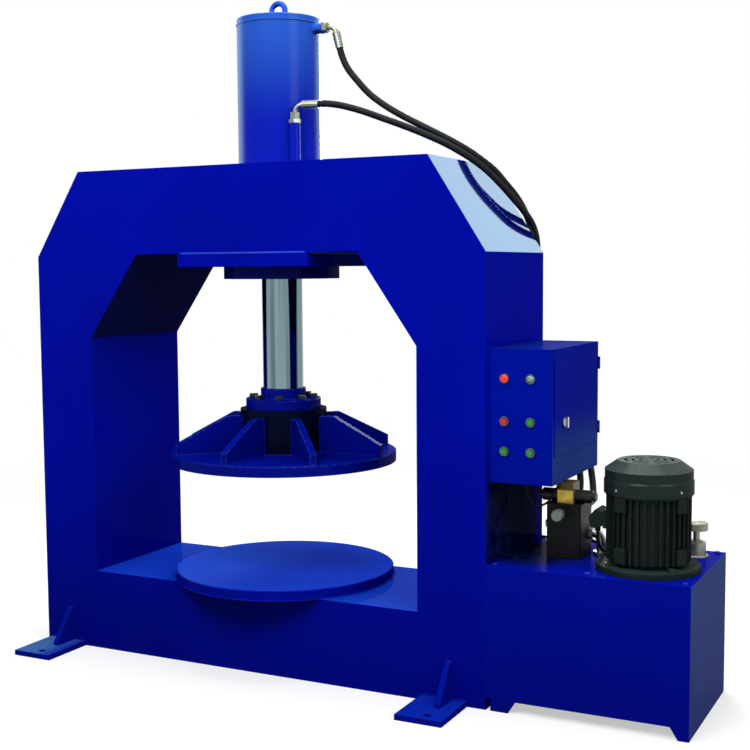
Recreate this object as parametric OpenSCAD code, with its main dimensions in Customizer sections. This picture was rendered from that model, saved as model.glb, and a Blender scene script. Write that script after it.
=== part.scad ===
// Hydraulic tyre press: a welded portal frame with a round table, a ribbed round platen under a
// hydraulic cylinder, and a control box and oil power unit at its right side.
// The origin lies on the press axis at floor level, with X to the right, Y to the back and Z up.

/* [Frame] */
// Width of the welded frame
frame_w = 1950; // [1750:10:2200]
// Height of the welded frame
frame_h = 1920; // [1800:10:2100]
// Depth of the welded frame, front to back
frame_d = 585; // [520:5:680]
// Thickness of the front and rear plates
face_t = 25; // [18:1:35]
// Thickness of the plates that close columns, bed and crown
skin_t = 16; // [10:1:22]
// Width of the sloped outer corners
corner_w = 215; // [150:5:260]
// Height of the sloped outer corners
corner_h = 335; // [260:5:380]
// Width of the press window
window_w = 1430; // [1300:10:1500]
// Height of the bed
bed_h = 317; // [280:1:360]
// Height of the crown at its middle
crown_h = 330; // [270:5:370]
// Width of the sloped inner corners
window_corner_w = 230; // [150:5:280]
// Height of the sloped inner corners
window_corner_h = 330; // [250:5:380]

/* [Feet] */
// Width of a foot plate
foot_w = 175; // [140:5:220]
// Length of a foot plate in front of the frame
foot_reach = 225; // [180:5:280]
// Thickness of a foot plate
foot_t = 20; // [14:1:30]
// Anchor hole in a foot plate
anchor_d = 26; // [18:1:32]
// Height of a gusset on its foot plate
gusset_h = 136; // [100:1:180]
// Length of a gusset along its foot plate
gusset_reach = 108; // [80:1:140]
// Thickness of a gusset
gusset_t = 20; // [12:1:26]

/* [Table and platen] */
// Diameter of the table
table_d = 864; // [780:2:940]
// Thickness of the table
table_t = 38; // [30:1:50]
// Clear height between table and platen as drawn
daylight = 421; // [400:1:440]
// Diameter of the platen
platen_d = 890; // [800:2:960]
// Thickness of the platen disc
platen_t = 40; // [30:1:50]
// Diameter of the platen hub
hub_d = 340; // [300:2:380]
// Height of the platen hub
hub_h = 169; // [140:1:200]
// Number of ribs on the platen
rib_count = 8; // [6:1:12]
// Thickness of a platen rib
rib_t = 25; // [16:1:32]
// Diameter of the clamp ring on the hub
ring_d = 295; // [280:1:320]
// Thickness of the clamp ring
ring_t = 40; // [30:1:50]
// Number of clamp ring bolts
ring_bolts = 8; // [6:1:12]

/* [Cylinder] */
// Outside diameter of the cylinder barrel
barrel_d = 324; // [310:1:340]
// Bore of the cylinder barrel
bore_d = 270; // [262:1:280]
// Height of the cylinder above the frame
barrel_rise = 567; // [540:1:620]
// Diameter of the piston rod
rod_d = 160; // [145:1:170]
// Thickness of the cylinder cap
cap_t = 24; // [18:1:32]
// Width of the mount plate under the crown
mount_w = 569; // [520:1:640]
// Thickness of the mount plate
mount_t = 50; // [36:1:60]
// Diameter of the cylinder flange
flange_d = 452; // [440:1:480]
// Thickness of the cylinder flange
flange_t = 47; // [40:1:60]
// Number of cylinder flange bolts
flange_bolt_count = 12; // [8:1:16]
// Height of the piston
piston_h = 110; // [90:1:130]
// Length of the gland bush
gland_h = 115; // [90:1:130]
// Piston travel left below the drawn position
extend_travel = 330; // [300:1:340]
// Diameter of the rod side pipe
pipe_d = 40; // [34:1:46]
// Height of the rod side pipe above the frame
pipe_rise = 155; // [120:1:200]

/* [Hoses and cables] */
// Outside diameter of the hydraulic hoses
hose_d = 25; // [20:1:28]
// Outside diameter of the motor cable
motor_cable_d = 12; // [9:1:14]
// Outside diameter of the solenoid cable
solenoid_cable_d = 8; // [6:1:10]

/* [Control box] */
// Width of the control box, away from the frame
box_w = 230; // [200:5:280]
// Depth of the control box, front to back
box_d = 517; // [480:1:560]
// Height of the control box
box_h = 460; // [430:5:500]
// Height of the control box above the oil tank
box_lift = 288; // [270:1:330]
// Set-back of the control box from the front of the frame
box_setback = 22; // [10:1:40]
// Sheet thickness of the control box
box_wall = 3; // [2:0.5:4]
// Thickness of the door
door_t = 3; // [2:0.5:4]
// Diameter of a push button head
button_d = 25; // [20:0.5:28]
// Diameter of the bezel of a button or lamp
bezel_d = 33; // [31:0.5:38]

/* [Oil tank] */
// Length of the oil tank, away from the frame
tank_w = 702; // [660:2:760]
// Depth of the oil tank, front to back
tank_d = 553; // [500:1:600]
// Height of the oil tank with its lid
tank_h = 509; // [490:1:530]
// Height of the tank floor above the ground
tank_floor = 42; // [30:1:60]
// Plate thickness of the tank
tank_wall = 5; // [3:0.5:8]
// Thickness of the lid
lid_t = 10; // [6:1:14]

/* [Motor] */
// Distance of the motor axis from the frame
motor_out = 512; // [490:1:530]
// Distance of the motor axis from the front of the tank
motor_back = 197; // [185:1:230]
// Diameter of the motor flange
motor_flange_d = 350; // [330:2:366]
// Thickness of the motor flange
motor_flange_t = 22; // [16:1:28]
// Diameter over the cooling fins
fin_d = 284; // [270:2:290]
// Number of cooling fins
fin_count = 36; // [24:2:44]
// Height of the finned housing
housing_h = 227; // [200:1:250]
// Diameter of the fan cover
cover_d = 294; // [292:1:310]
// Height of the fan cover
cover_h = 110; // [95:1:130]

/* [Valves] */
// Length of the manifold block along X
manifold_w = 125; // [110:1:140]
// Depth of the manifold block
manifold_d = 130; // [120:1:150]
// Height of the manifold block
manifold_h = 191; // [180:1:196]
// Diameter of the relief valve knob
knob_d = 42; // [34:1:50]
// Diameter of the filler cap
filler_d = 80; // [64:1:90]

/* [Hidden] */
$fn = 64;
paint = [0.03, 0.07, 0.5];
steel = [0.55, 0.57, 0.58];
chrome = [0.8, 0.82, 0.84];
zinc = [0.72, 0.7, 0.6];
brass = [0.72, 0.6, 0.22];
rubber = [0.05, 0.05, 0.055];
motor_green = [0.13, 0.17, 0.16];
black_oxide = [0.07, 0.075, 0.08];
// Overrun of every cut past the face that it opens
overrun = 1;
// Gap of pieces that are welded or pressed together on a curved face
weld_gap = 0.1;
// Radial clearance of a bolt in its hole
bolt_gap = 0.4;
// Radial clearance of a running fit
run_gap = 0.05;
// Clearance between pieces that move past each other
move_gap = 0.4;

// Frame: outlines in the X and Z plane, run anticlockwise from the lower left corner
half_w = frame_w / 2;
front_y = -frame_d / 2;
rear_y = frame_d / 2;
shoulder_z = frame_h - corner_h;
shoulder_x = half_w - corner_w;
window_top = frame_h - crown_h;
haunch_z = window_top - window_corner_h;
haunch_x = window_w / 2 - window_corner_w;
outer_outline = [[-half_w, 0], [half_w, 0], [half_w, shoulder_z], [shoulder_x, frame_h],
    [-shoulder_x, frame_h], [-half_w, shoulder_z]];
window_outline = [[-window_w / 2, bed_h], [window_w / 2, bed_h], [window_w / 2, haunch_z],
    [haunch_x, window_top], [-haunch_x, window_top], [-window_w / 2, haunch_z]];
skin_y = front_y + face_t;
skin_d = frame_d - 2 * face_t;
stiffener_t = skin_t;
bed_stiffener_share = 0.3;
bed_stiffener_x = table_d * bed_stiffener_share;
crown_stiffener_share = 0.47;
crown_stiffener_x = mount_w * crown_stiffener_share;

// Feet: the left pair stands nearer to the frame's side than the right pair
left_foot_inset = 20;
right_foot_inset = 70;
foot_shift = 20;
anchor_edge = 40;
gusset_nose = 12;
left_foot_x = -half_w + left_foot_inset + foot_w / 2;
right_foot_x = half_w - right_foot_inset - foot_w / 2;

// Table and platen
edge_bevel = 3;
table_top = bed_h + table_t;
platen_z = table_top + daylight;
platen_top = platen_z + platen_t;
hub_top = platen_top + hub_h;
ring_top = hub_top + ring_t;
collar_wall = 9;
collar_d = rod_d + 2 * collar_wall;
collar_h = 40;
rib_setback = 13;
rib_end_r = platen_d / 2 - rib_setback;
rib_shoulder = 60;
rib_shoulder_r = hub_d / 2 + rib_shoulder;
rib_end_h = 42;
rib_drop = 25;
ring_bolt_r = (ring_d + collar_d) / 4;
ring_bolt_d = 20;
ring_bolt_af = 30;
ring_bolt_head = 16;
ring_bolt_depth = 30;

// Cylinder
mount_z = window_top - mount_t;
mount_proud = 4;
flange_z = mount_z - flange_t;
barrel_top = frame_h + barrel_rise;
cap_z = barrel_top - cap_t;
gland_top = flange_z + gland_h;
piston_rest = 52;
piston_low = gland_top + piston_rest;
piston_z = piston_low + extend_travel;
flange_bolt_r = (flange_d + barrel_d) / 4;
flange_bolt_d = 20;
flange_bolt_head_d = 30;
flange_bolt_head = 20;
flange_bolt_sunk = 1;
flange_bolt_depth = 30;
flange_bolt_key = 17;
spigot_d = 110;
port_d = 19;
boss_d = 42;
boss_out = 35;
boss_drop = 2;
cap_port_z = cap_z - boss_drop - boss_d / 2;
eye_bar = 22;
eye_r = 29;
eye_leg = 34;

// Rod side pipe and the hose fittings at the cylinder
pipe_angle = -41.5;
pipe_gap = 5;
pipe_bore = 26;
stub_d = 32;
pipe_foot = 26;
pipe_r = barrel_d / 2 + pipe_gap + pipe_d / 2;
pipe_x = pipe_r * cos(pipe_angle);
pipe_y = pipe_r * sin(pipe_angle);
pipe_top = frame_h + pipe_rise;
rod_port_rise = 30;
rod_port_z = gland_top + rod_port_rise;
tail_d = 18;
tail_bend = 28;
ferrule_wall = 2.5;
ferrule_d = hose_d + 2 * ferrule_wall;
ferrule_l = 62;
collar_nut_af = 42;
collar_nut_h = 14;
swivel_af = 34;
swivel_h = 26;
lower_tail_angle = 15;
upper_tail_angle = 75;
upper_nut_h = 20;
tail_straight = 8;

// Routes of hoses and cables, points chosen along their run
hose_side = [1, -1, 0.15];
cap_route = [[264, 0, 2375], [275, 0, 2334], [298, 2, 2284], [337, 8, 2234], [386, 14, 2182],
    [450, 22, 2134], [522, 32, 2091], [607, 45, 2046], [691, 63, 2001], [758, 86, 1959],
    [798, 112, 1926], [833, 146, 1891], [864, 188, 1842], [889, 234, 1794], [902, 284, 1745],
    [908, 330, 1688], [904, 365, 1628], [896, 390, 1559], [892, 404, 1450], [897, 408, 1340],
    [914, 404, 1240], [955, 398, 1145], [1007, 391, 1055], [1060, 381, 970], [1107, 366, 887],
    [1144, 338, 807], [1170, 298, 739], [1190, 248, 694], [1205, 195, 673], [1205, 135, 670]];
rod_route = [[215, -104, 2143], [264, -91, 2143], [320, -72, 2133], [392, -56, 2111], [465, -40, 2083],
    [540, -24, 2054], [617, -5, 2021], [693, 17, 1984], [756, 43, 1945], [797, 72, 1913],
    [830, 104, 1879], [864, 142, 1834], [893, 184, 1788], [920, 231, 1739], [935, 284, 1690],
    [936, 330, 1630], [926, 356, 1558], [906, 367, 1462], [888, 370, 1400], [889, 369, 1300],
    [905, 366, 1200], [945, 359, 1110], [995, 350, 1022], [1045, 338, 938], [1090, 319, 856],
    [1122, 290, 775], [1140, 247, 710], [1145, 192, 676], [1145, 135, 670]];
motor_cable_route = [[1311, -95, 626], [1311, -95, 602], [1312, -80, 570], [1316, -36, 543],
    [1316, 20, 531], [1306, 76, 527], [1276, 126, 526], [1226, 156, 528], [1168, 170, 540],
    [1118, 177, 572], [1088, 180, 630], [1076, 180, 700], [1075, 180, 748], [1075, 180, 778]];
solenoid_cable_route = [[1155, -46, 760], [1155, -68, 758], [1153, -90, 746], [1146, -106, 726],
    [1130, -118, 708], [1108, -125, 700], [1086, -128, 710], [1069, -128, 734], [1062, -128, 758],
    [1062, -128, 778]];

// Oil tank
tank_x = half_w;
tank_x1 = tank_x + tank_w;
tank_y1 = front_y + tank_d;
lid_z = tank_h - lid_t;
leg_left_w = 64;
leg_right_w = 36;
leg_slant = 27;
leg_notch_w = 17;
leg_notch_h = 58;
lid_bolt_inset = 25;
lid_bolt_d = 10;
lid_bolt_af = 17;
lid_bolt_head = 7;
lid_bolt_depth = 14;
tank_rim = 40;
lid_bolt_columns = 3;

// Motor
motor_x = tank_x + motor_out;
motor_y = front_y + motor_back;
motor_z = tank_h;
bell_h = 14;
motor_h = motor_flange_t + bell_h + housing_h + cover_h;
housing_z = motor_z + motor_flange_t + bell_h;
cover_z = housing_z + housing_h;
fin_reach = 14;
core_d = fin_d - 2 * fin_reach;
fin_t = 5;
rim_t = 8;
rim_out = 2;
lug_w = 44;
lug_h = 50;
lug_out = 3;
lug_count = 4;
lug_angle = 64;
stator_d = 170;
air_gap = 0.6;
rotor_d = stator_d - 2 * air_gap;
rotor_inset = 28;
shield_t = 16;
shaft_d = 42;
tail_shaft_d = 30;
motor_bolt_share = 0.857;
motor_bolt_circle = motor_flange_d * motor_bolt_share;
motor_bolts = 4;
motor_bolt_d = 16;
motor_bolt_af = 24;
motor_bolt_head = 10;
bell_foot_d = motor_bolt_circle - 2 * motor_bolt_af / cos(30);
cover_sheet = 2.5;
cover_skirt = 43;
cover_step = 3;
cover_bead = 6;
cover_cone = 30;
cover_top_d = 210;
cover_seat_h = 10;
slot_w = 9;
slot_rings = 3;
slot_arcs = 6;
slot_sweep = 46;
slot_first_r = 26;
slot_pitch = 24;
fan_d = 230;
fan_h = 40;
fan_hub_d = 70;
fan_blades = 7;
fan_blade_t = 3;
fan_lift = 8;
pad_out = 4;
terminal_w = 90;
terminal_h = 64;
terminal_out = 50;
terminal_up_share = 0.57;
terminal_z = housing_z + housing_h * terminal_up_share;
terminal_shares = [[0, -0.37], [0.36, -0.5], [0.84, -0.5], [1, -0.08], [0.97, 0.11], [0.53, 0.5],
    [0, 0.33]];
terminal_gland_share = 0.6;
terminal_gland_d = 20;
terminal_gland_h = 18;

// Control box
box_x = half_w;
box_z = tank_h + box_lift;
box_x1 = box_x + box_w;
box_y = front_y + box_setback;
box_y1 = box_y + box_d;
box_top = box_z + box_h;
border = 24;
border_top = 36;
door_lap = 8;
door_y0 = box_y + border - door_lap;
door_y1 = box_y1 - border + door_lap;
door_clear = 10;
door_z0 = max(box_z + border - door_lap, tank_h + motor_h + door_clear);
door_z1 = box_top - border_top + door_lap;
door_x = box_x1 + move_gap;
hinge_d = 9;
hinge_pin_d = 5;
hinge_x = box_x1 + hinge_d / 2 + move_gap;
hinge_y = box_y1 - hinge_d / 2;
hinge_l = 15;
hinge_leaf = 3;
hinge_inset = 50;
lock_back = 102;
lock_up = 207;
lock_y = box_y + lock_back;
lock_z = box_z + lock_up;
lock_d = 20;
lock_rim_d = 32;
lock_rim_t = 3;
lock_cap_t = 5;
lock_wing = [11, 11, 36];
cam_reach = 92;
cam_w = 16;
cam_t = 4;
cam_clear = 2;
cam_x = box_x1 - box_wall - cam_t - cam_clear;

// Buttons and lamps: two columns and three rows on the front of the box
column_out = [60, 154];
row_up = [359, 213, 110];
bezel_h = 7;
bushing_d = 22;
bushing_l = 18;
button_h = 7.5;
button_stand = 5;
button_stem_d = 14;
button_stem_l = 16;
locknut_d = 29;
locknut_h = 5;
contact_block = [26, 34, 40];
lamp_h = 9;
lamp_dome = 6;

// Switchgear in the box and glands below it
gear_stand = 8;
gear_plate_t = 2;
gear_plate_share = [0.78, 0.84];
gear_place_share = [0.18, 0.08];
gear_plate_d = box_d * gear_plate_share.x;
gear_plate_h = box_h * gear_plate_share.y;
gear_y = box_y + box_d * gear_place_share.x;
gear_z = box_z + box_h * gear_place_share.y;
stud_d = 10;
stud_edge = 22;
// Switchgear sizes along X, Y and Z as shares of the plate, then their places on it
gear_size_shares = [[0.22, 0.13, 0.2], [0.22, 0.13, 0.2], [0.19, 0.2, 0.22], [0.23, 0.24, 0.18],
    [0.12, 0.84, 0.09]];
gear_spot_shares = [[0.08, 0.68], [0.27, 0.68], [0.52, 0.67], [0.1, 0.34], [0.08, 0.08]];
gland_out = [100, 87, 130];
gland_back = [450.5, 142.5, 310.5];
gland_af = 27;
gland_nut_h = 8;
gland_nose_h = 16;
gland_nose_d = 18;
gland_thread_d = 20;

// Pump below the lid
coupling_d = 80;
coupling_h = 56;
coupling_drop = 24;
bellhousing_d = 170;
bellhousing_wall = 18;
bellhousing_h = 100;
pump_shaft_d = 22;
pump_size = [110, 140, 120];
suction_d = 34;
strainer_d = 72;
strainer_h = 110;
strainer_clear = 24;

// Valves on the lid
manifold_out = 140;
manifold_back = 228;
manifold_x = tank_x + manifold_out;
manifold_x1 = manifold_x + manifold_w;
manifold_y = front_y + manifold_back;
manifold_y1 = manifold_y + manifold_d;
manifold_top = tank_h + manifold_h;
manifold_bevel = 3;
hose_port_up = 161;
hose_port_z = tank_h + hose_port_up;
hose_port_places = [30, 90];
adapter_af = 32;
adapter_h = 16;
plug_af = 24;
plug_h = 14;
plug_drops = [80, 140];
plug_setback = 38;
valve_w = 58;
valve_d = 72;
valve_h = 46;
coil_d = 46;
coil_l = 62;
coil_cap_d = 30;
coil_cap_l = 12;
terminal_lid_h = 28;
valve_x = (manifold_x + manifold_x1) / 2;
valve_back_share = 0.42;
valve_y = manifold_y + manifold_d * valve_back_share;
valve_gland_d = 16;
valve_gland_h = 8;
valve_gland_shift = 22;
relief_out = 58;
relief_up = 160;
relief_x = manifold_x + relief_out;
relief_z = tank_h + relief_up;
relief_af = 32;
relief_hex_h = 18;
relief_stem_d = 18;
relief_stem_h = 33;
knob_h = 30;
knob_grooves = 12;
knob_groove_d = 5;
pressure_pipe_d = 34;
pressure_pipe_back = 110;
pressure_pipe_up = 78;
pressure_pipe_y = manifold_y + pressure_pipe_back;
pressure_pipe_z = tank_h + pressure_pipe_up;
pressure_bend = 34;
pressure_stub = 8;
pressure_nut_af = 46;
pressure_nut_h = 12;
pressure_collar_d = 58;
pressure_collar_h = 12;

// Filler on the lid
filler_inset_x = 85;
filler_inset_y = 96;
filler_x = tank_x1 - filler_inset_x;
filler_y = tank_y1 - filler_inset_y;
neck_flange_d = 84;
neck_flange_t = 6;
neck_d = 68;
neck_h = 51;
neck_bore = 32;
filler_spigot = 20;
filler_collar_d = 46;
filler_collar_h = 6;
filler_stem_d = 24;
filler_stem_h = 42;
filler_head_h = 27;

// Unit vector along v
function unit(v) = v / norm(v);

// Normal on the left side of the way from a to b
function left_normal(a, b) = let(d = unit(b - a)) [-d.y, d.x];

// Corner i of an outline, moved to the left by t along both of its edges
function moved_corner(points, i, t) =
    let(n = len(points), before = left_normal(points[(i + n - 1) % n], points[i]),
        after = left_normal(points[i], points[(i + 1) % n]))
    points[i] + t * (before + after) / (1 + before * after);

// Mitred strip of thickness t along edge i of an outline
function edge_strip(points, i, t) =
    let(j = (i + 1) % len(points))
    [points[i], points[j], moved_corner(points, j, t), moved_corner(points, i, t)];

// Direction of a route at its point i
function heading(route, i) =
    unit(route[min(i + 1, len(route) - 1)] - route[max(i - 1, 0)]);

// Circle of points around point i of a route, square to its direction
function route_ring(route, i, d, sides) =
    let(t = heading(route, i), u = unit(cross(t, hose_side)), v = cross(t, u))
    [for (k = [0 : sides - 1]) route[i] + d / 2 * (cos(360 * k / sides) * u + sin(360 * k / sides) * v)];

// Tube swept along a route, with one ring of points at each of its points
module swept_tube(route, d, sides) {
    last = len(route) - 1;
    points = [for (i = [0 : last]) each route_ring(route, i, d, sides)];
    walls = [for (i = [0 : last - 1], k = [0 : sides - 1])
        let(a = i * sides + k, b = i * sides + (k + 1) % sides)
        each [[a, a + sides, b + sides], [a, b + sides, b]]];
    start = [for (k = [0 : sides - 1]) k];
    end = [for (k = [0 : sides - 1]) last * sides + sides - 1 - k];
    polyhedron(points = points, faces = concat(walls, [start, end]), convexity = 8);
}

// Extrusion along Y of an outline drawn in the X and Z plane
module along_y(y, t) {
    translate([0, y + t, 0]) rotate([90, 0, 0]) linear_extrude(t) children();
}

// Extrusion along X of an outline drawn in the Y and Z plane
module along_x(x, t) {
    translate([x, 0, 0]) rotate([90, 0, 90]) linear_extrude(t) children();
}

// Round bar from the origin along X
module bar_x(d, l) {
    rotate([0, 90, 0]) cylinder(d = d, h = l);
}

// Round bar from the origin along Y
module bar_y(d, l) {
    rotate([-90, 0, 0]) cylinder(d = d, h = l);
}

// Upright hexagon prism of a given size across flats
module hex(af, h) {
    cylinder(d = af / cos(30), h = h, $fn = 6);
}

// Bent round bar from the origin along X, turning down through an angle
module bend(d, r, angle) {
    translate([0, 0, -r]) rotate(a = -120, v = [1, 1, 1])
        rotate_extrude(angle = angle) translate([r, 0]) circle(d = d);
}

// Disc with a bevelled upper edge
module bevelled_disc(d, h, bevel) {
    cylinder(d = d, h = h - bevel);
    translate([0, 0, h - bevel]) cylinder(d1 = d, d2 = d - 2 * bevel, h = bevel);
}

// Copies at equal angles on a circle
module on_circle(count, r, first = 0) {
    for (i = [0 : count - 1])
        rotate([0, 0, first + 360 * i / count]) translate([r, 0, 0]) children();
}

// Copies on the four feet: the left and right places, in front and mirrored at the back
module at_feet() {
    for (x = [left_foot_x, right_foot_x], side = [0, 1])
        mirror([0, side, 0]) translate([x, front_y, 0]) children();
}

module face_outline() {
    difference() {
        polygon(outer_outline);
        polygon(window_outline);
    }
}

module front_frame_plate() {
    color(paint) along_y(front_y, face_t) face_outline();
}

module rear_frame_plate() {
    color(paint) along_y(rear_y - face_t, face_t) face_outline();
}

module skin(points, i, t) {
    along_y(skin_y, skin_d) polygon(edge_strip(points, i, t));
}

module outer_skin_plates() {
    color(paint) {
        for (i = [1, 2, 4, 5])
            skin(outer_outline, i, skin_t);
        difference() {
            skin(outer_outline, 3, skin_t);
            translate([0, 0, frame_h - skin_t - overrun])
                cylinder(d = barrel_d + 2 * bolt_gap, h = skin_t + 2 * overrun);
            translate([pipe_x, pipe_y, frame_h - skin_t - overrun])
                cylinder(d = pipe_d + 2 * bolt_gap, h = skin_t + 2 * overrun);
        }
    }
}

module inner_skin_plates() {
    color(paint) {
        for (i = [0, 1, 2, 4, 5])
            skin(window_outline, i, -skin_t);
        difference() {
            skin(window_outline, 3, -skin_t);
            translate([0, 0, window_top - overrun])
                cylinder(d = barrel_d + 2 * bolt_gap, h = skin_t + 2 * overrun);
        }
    }
}

module base_plate() {
    color(paint) skin(outer_outline, 0, skin_t);
}

module stiffener_ribs() {
    color(paint) for (side = [-1, 1]) {
        translate([side * bed_stiffener_x - stiffener_t / 2, skin_y, skin_t])
            cube([stiffener_t, skin_d, bed_h - 2 * skin_t]);
        translate([side * crown_stiffener_x - stiffener_t / 2, skin_y, window_top + skin_t])
            cube([stiffener_t, skin_d, frame_h - window_top - 2 * skin_t]);
    }
}

module foot_plates() {
    color(paint) at_feet() difference() {
        translate([-foot_w / 2, -foot_reach, 0]) cube([foot_w, foot_reach, foot_t]);
        translate([foot_shift, anchor_edge - foot_reach, -overrun])
            cylinder(d = anchor_d, h = foot_t + 2 * overrun);
    }
}

module foot_gussets() {
    outline = [[0, 0], [0, gusset_h], [-gusset_nose, gusset_h], [-gusset_reach, gusset_nose],
        [-gusset_reach, 0]];
    color(paint) at_feet() translate([0, 0, foot_t])
        along_x(foot_shift - gusset_t / 2, gusset_t) polygon(outline);
}

module table_plate() {
    color(paint) translate([0, 0, bed_h]) bevelled_disc(table_d, table_t, edge_bevel);
}

module cylinder_mount_plate() {
    depth = frame_d + 2 * mount_proud;
    color(paint) translate([0, 0, mount_z]) difference() {
        translate([-mount_w / 2, -depth / 2, 0]) cube([mount_w, depth, mount_t]);
        translate([0, 0, -overrun]) cylinder(d = barrel_d + 2 * bolt_gap, h = mount_t + 2 * overrun);
        on_circle(flange_bolt_count, flange_bolt_r) translate([0, 0, -overrun])
            cylinder(d = flange_bolt_d + 2 * bolt_gap, h = flange_bolt_depth + 2 * overrun);
    }
}

module cylinder_barrel() {
    color(paint) difference() {
        union() {
            translate([0, 0, flange_z]) cylinder(d = barrel_d, h = cap_z - flange_z);
            translate([bore_d / 2, 0, cap_port_z]) bar_x(boss_d, (barrel_d - bore_d) / 2 + boss_out);
        }
        translate([0, 0, flange_z - overrun]) cylinder(d = bore_d, h = cap_z - flange_z + 2 * overrun);
        translate([0, 0, cap_port_z]) bar_x(port_d, barrel_d / 2 + boss_out + overrun);
        translate([0, 0, rod_port_z]) rotate([0, 0, pipe_angle]) bar_x(port_d, barrel_d);
    }
}

module cylinder_cap() {
    color(paint) translate([0, 0, cap_z]) bevelled_disc(barrel_d, cap_t, edge_bevel);
}

module cylinder_flange() {
    recess = flange_bolt_head + flange_bolt_sunk;
    color(paint) translate([0, 0, flange_z]) difference() {
        cylinder(d = flange_d, h = flange_t);
        translate([0, 0, -overrun]) cylinder(d = barrel_d + 2 * weld_gap, h = flange_t + 2 * overrun);
        on_circle(flange_bolt_count, flange_bolt_r) translate([0, 0, -overrun]) {
            cylinder(d = flange_bolt_d + 2 * bolt_gap, h = flange_t + 2 * overrun);
            cylinder(d = flange_bolt_head_d + 2 * bolt_gap, h = recess + overrun);
        }
    }
}

module flange_bolts() {
    shank = flange_t - flange_bolt_head - flange_bolt_sunk + flange_bolt_depth;
    color(black_oxide) translate([0, 0, flange_z + flange_bolt_sunk])
        on_circle(flange_bolt_count, flange_bolt_r) difference() {
            union() {
                cylinder(d = flange_bolt_head_d, h = flange_bolt_head);
                cylinder(d = flange_bolt_d, h = flange_bolt_head + shank);
            }
            translate([0, 0, -overrun]) hex(flange_bolt_key, flange_bolt_head / 2 + overrun);
        }
}

module gland_bush() {
    color(steel) translate([0, 0, flange_z]) difference() {
        cylinder(d = bore_d - 2 * weld_gap, h = gland_h);
        translate([0, 0, -overrun]) cylinder(d = rod_d + 2 * run_gap, h = gland_h + 2 * overrun);
    }
}

module lifting_eye() {
    color(paint) translate([0, 0, barrel_top]) {
        for (side = [-1, 1])
            translate([side * eye_r, 0, 0]) cylinder(d = eye_bar, h = eye_leg);
        translate([0, 0, eye_leg]) rotate([90, 0, 0])
            rotate_extrude(angle = 180) translate([eye_r, 0]) circle(d = eye_bar);
    }
}

module rod_side_pipe() {
    foot_z = rod_port_z - pipe_foot;
    color(paint) difference() {
        union() {
            translate([pipe_x, pipe_y, foot_z]) cylinder(d = pipe_d, h = pipe_top - foot_z);
            translate([0, 0, rod_port_z]) rotate([0, 0, pipe_angle]) bar_x(stub_d, pipe_r);
        }
        translate([0, 0, foot_z]) cylinder(d = barrel_d + 2 * bolt_gap, h = pipe_top - foot_z);
        translate([pipe_x, pipe_y, rod_port_z - pipe_bore / 2])
            cylinder(d = pipe_bore, h = pipe_top - rod_port_z + pipe_bore);
        translate([0, 0, rod_port_z]) rotate([0, 0, pipe_angle]) bar_x(port_d, pipe_r);
    }
}

// Bent hose tail and ferrule from the origin along X, turning down through an angle
module hose_tail(angle) {
    bend(tail_d, tail_bend, angle);
    translate([tail_bend * sin(angle), 0, tail_bend * (cos(angle) - 1)]) rotate([0, angle, 0])
        bar_x(ferrule_d, ferrule_l);
}

module upper_hose_fitting() {
    color(zinc) translate([barrel_d / 2 + boss_out, 0, cap_port_z]) {
        rotate([0, 90, 0]) hex(swivel_af, upper_nut_h);
        bar_x(tail_d, upper_nut_h + tail_straight);
        translate([upper_nut_h + tail_straight, 0, 0]) hose_tail(upper_tail_angle);
    }
}

module lower_hose_fitting() {
    color(zinc) translate([pipe_x, pipe_y, pipe_top]) {
        rotate([0, 0, pipe_angle + 30]) hex(collar_nut_af, collar_nut_h);
        translate([0, 0, collar_nut_h]) hex(swivel_af, swivel_h);
        translate([0, 0, collar_nut_h + swivel_h]) rotate([0, 0, lower_tail_angle])
            rotate([0, -90, 0]) hose_tail(90);
    }
}

module cap_side_hose() {
    color(rubber) swept_tube(cap_route, hose_d, 10);
}

module rod_side_hose() {
    color(rubber) swept_tube(rod_route, hose_d, 10);
}

module piston_rod() {
    color(chrome) {
        translate([0, 0, platen_top]) cylinder(d = rod_d, h = piston_z - platen_top);
        translate([0, 0, piston_z]) cylinder(d = spigot_d, h = piston_h);
    }
}

module piston() {
    color(steel) translate([0, 0, piston_z]) difference() {
        cylinder(d = bore_d - 2 * run_gap, h = piston_h);
        translate([0, 0, -overrun]) cylinder(d = spigot_d + 2 * weld_gap, h = piston_h + 2 * overrun);
    }
}

module platen_disc() {
    color(paint) translate([0, 0, platen_z]) bevelled_disc(platen_d, platen_t, edge_bevel);
}

module platen_ribs() {
    rib_top = hub_h - rib_drop;
    outline = [[0, 0], [rib_end_r, 0], [rib_end_r, rib_end_h], [rib_shoulder_r, rib_top], [0, rib_top]];
    color(paint) translate([0, 0, platen_top]) difference() {
        on_circle(rib_count, 0) along_y(-rib_t / 2, rib_t) polygon(outline);
        translate([0, 0, -overrun]) cylinder(d = hub_d + 2 * weld_gap, h = hub_h + 2 * overrun);
    }
}

module platen_hub() {
    color(paint) translate([0, 0, platen_top]) difference() {
        cylinder(d = hub_d, h = hub_h);
        translate([0, 0, -overrun]) cylinder(d = rod_d + 2 * weld_gap, h = hub_h + 2 * overrun);
        translate([0, 0, hub_h - ring_bolt_depth]) on_circle(ring_bolts, ring_bolt_r, 180 / ring_bolts)
            cylinder(d = ring_bolt_d + 2 * bolt_gap, h = ring_bolt_depth + overrun);
    }
}

module clamp_ring() {
    color(paint) translate([0, 0, hub_top]) difference() {
        union() {
            bevelled_disc(ring_d, ring_t, edge_bevel);
            bevelled_disc(collar_d, ring_t + collar_h, edge_bevel);
        }
        translate([0, 0, -overrun])
            cylinder(d = rod_d + 2 * weld_gap, h = ring_t + collar_h + 2 * overrun);
        on_circle(ring_bolts, ring_bolt_r, 180 / ring_bolts) translate([0, 0, -overrun])
            cylinder(d = ring_bolt_d + 2 * bolt_gap, h = ring_t + 2 * overrun);
    }
}

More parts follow.
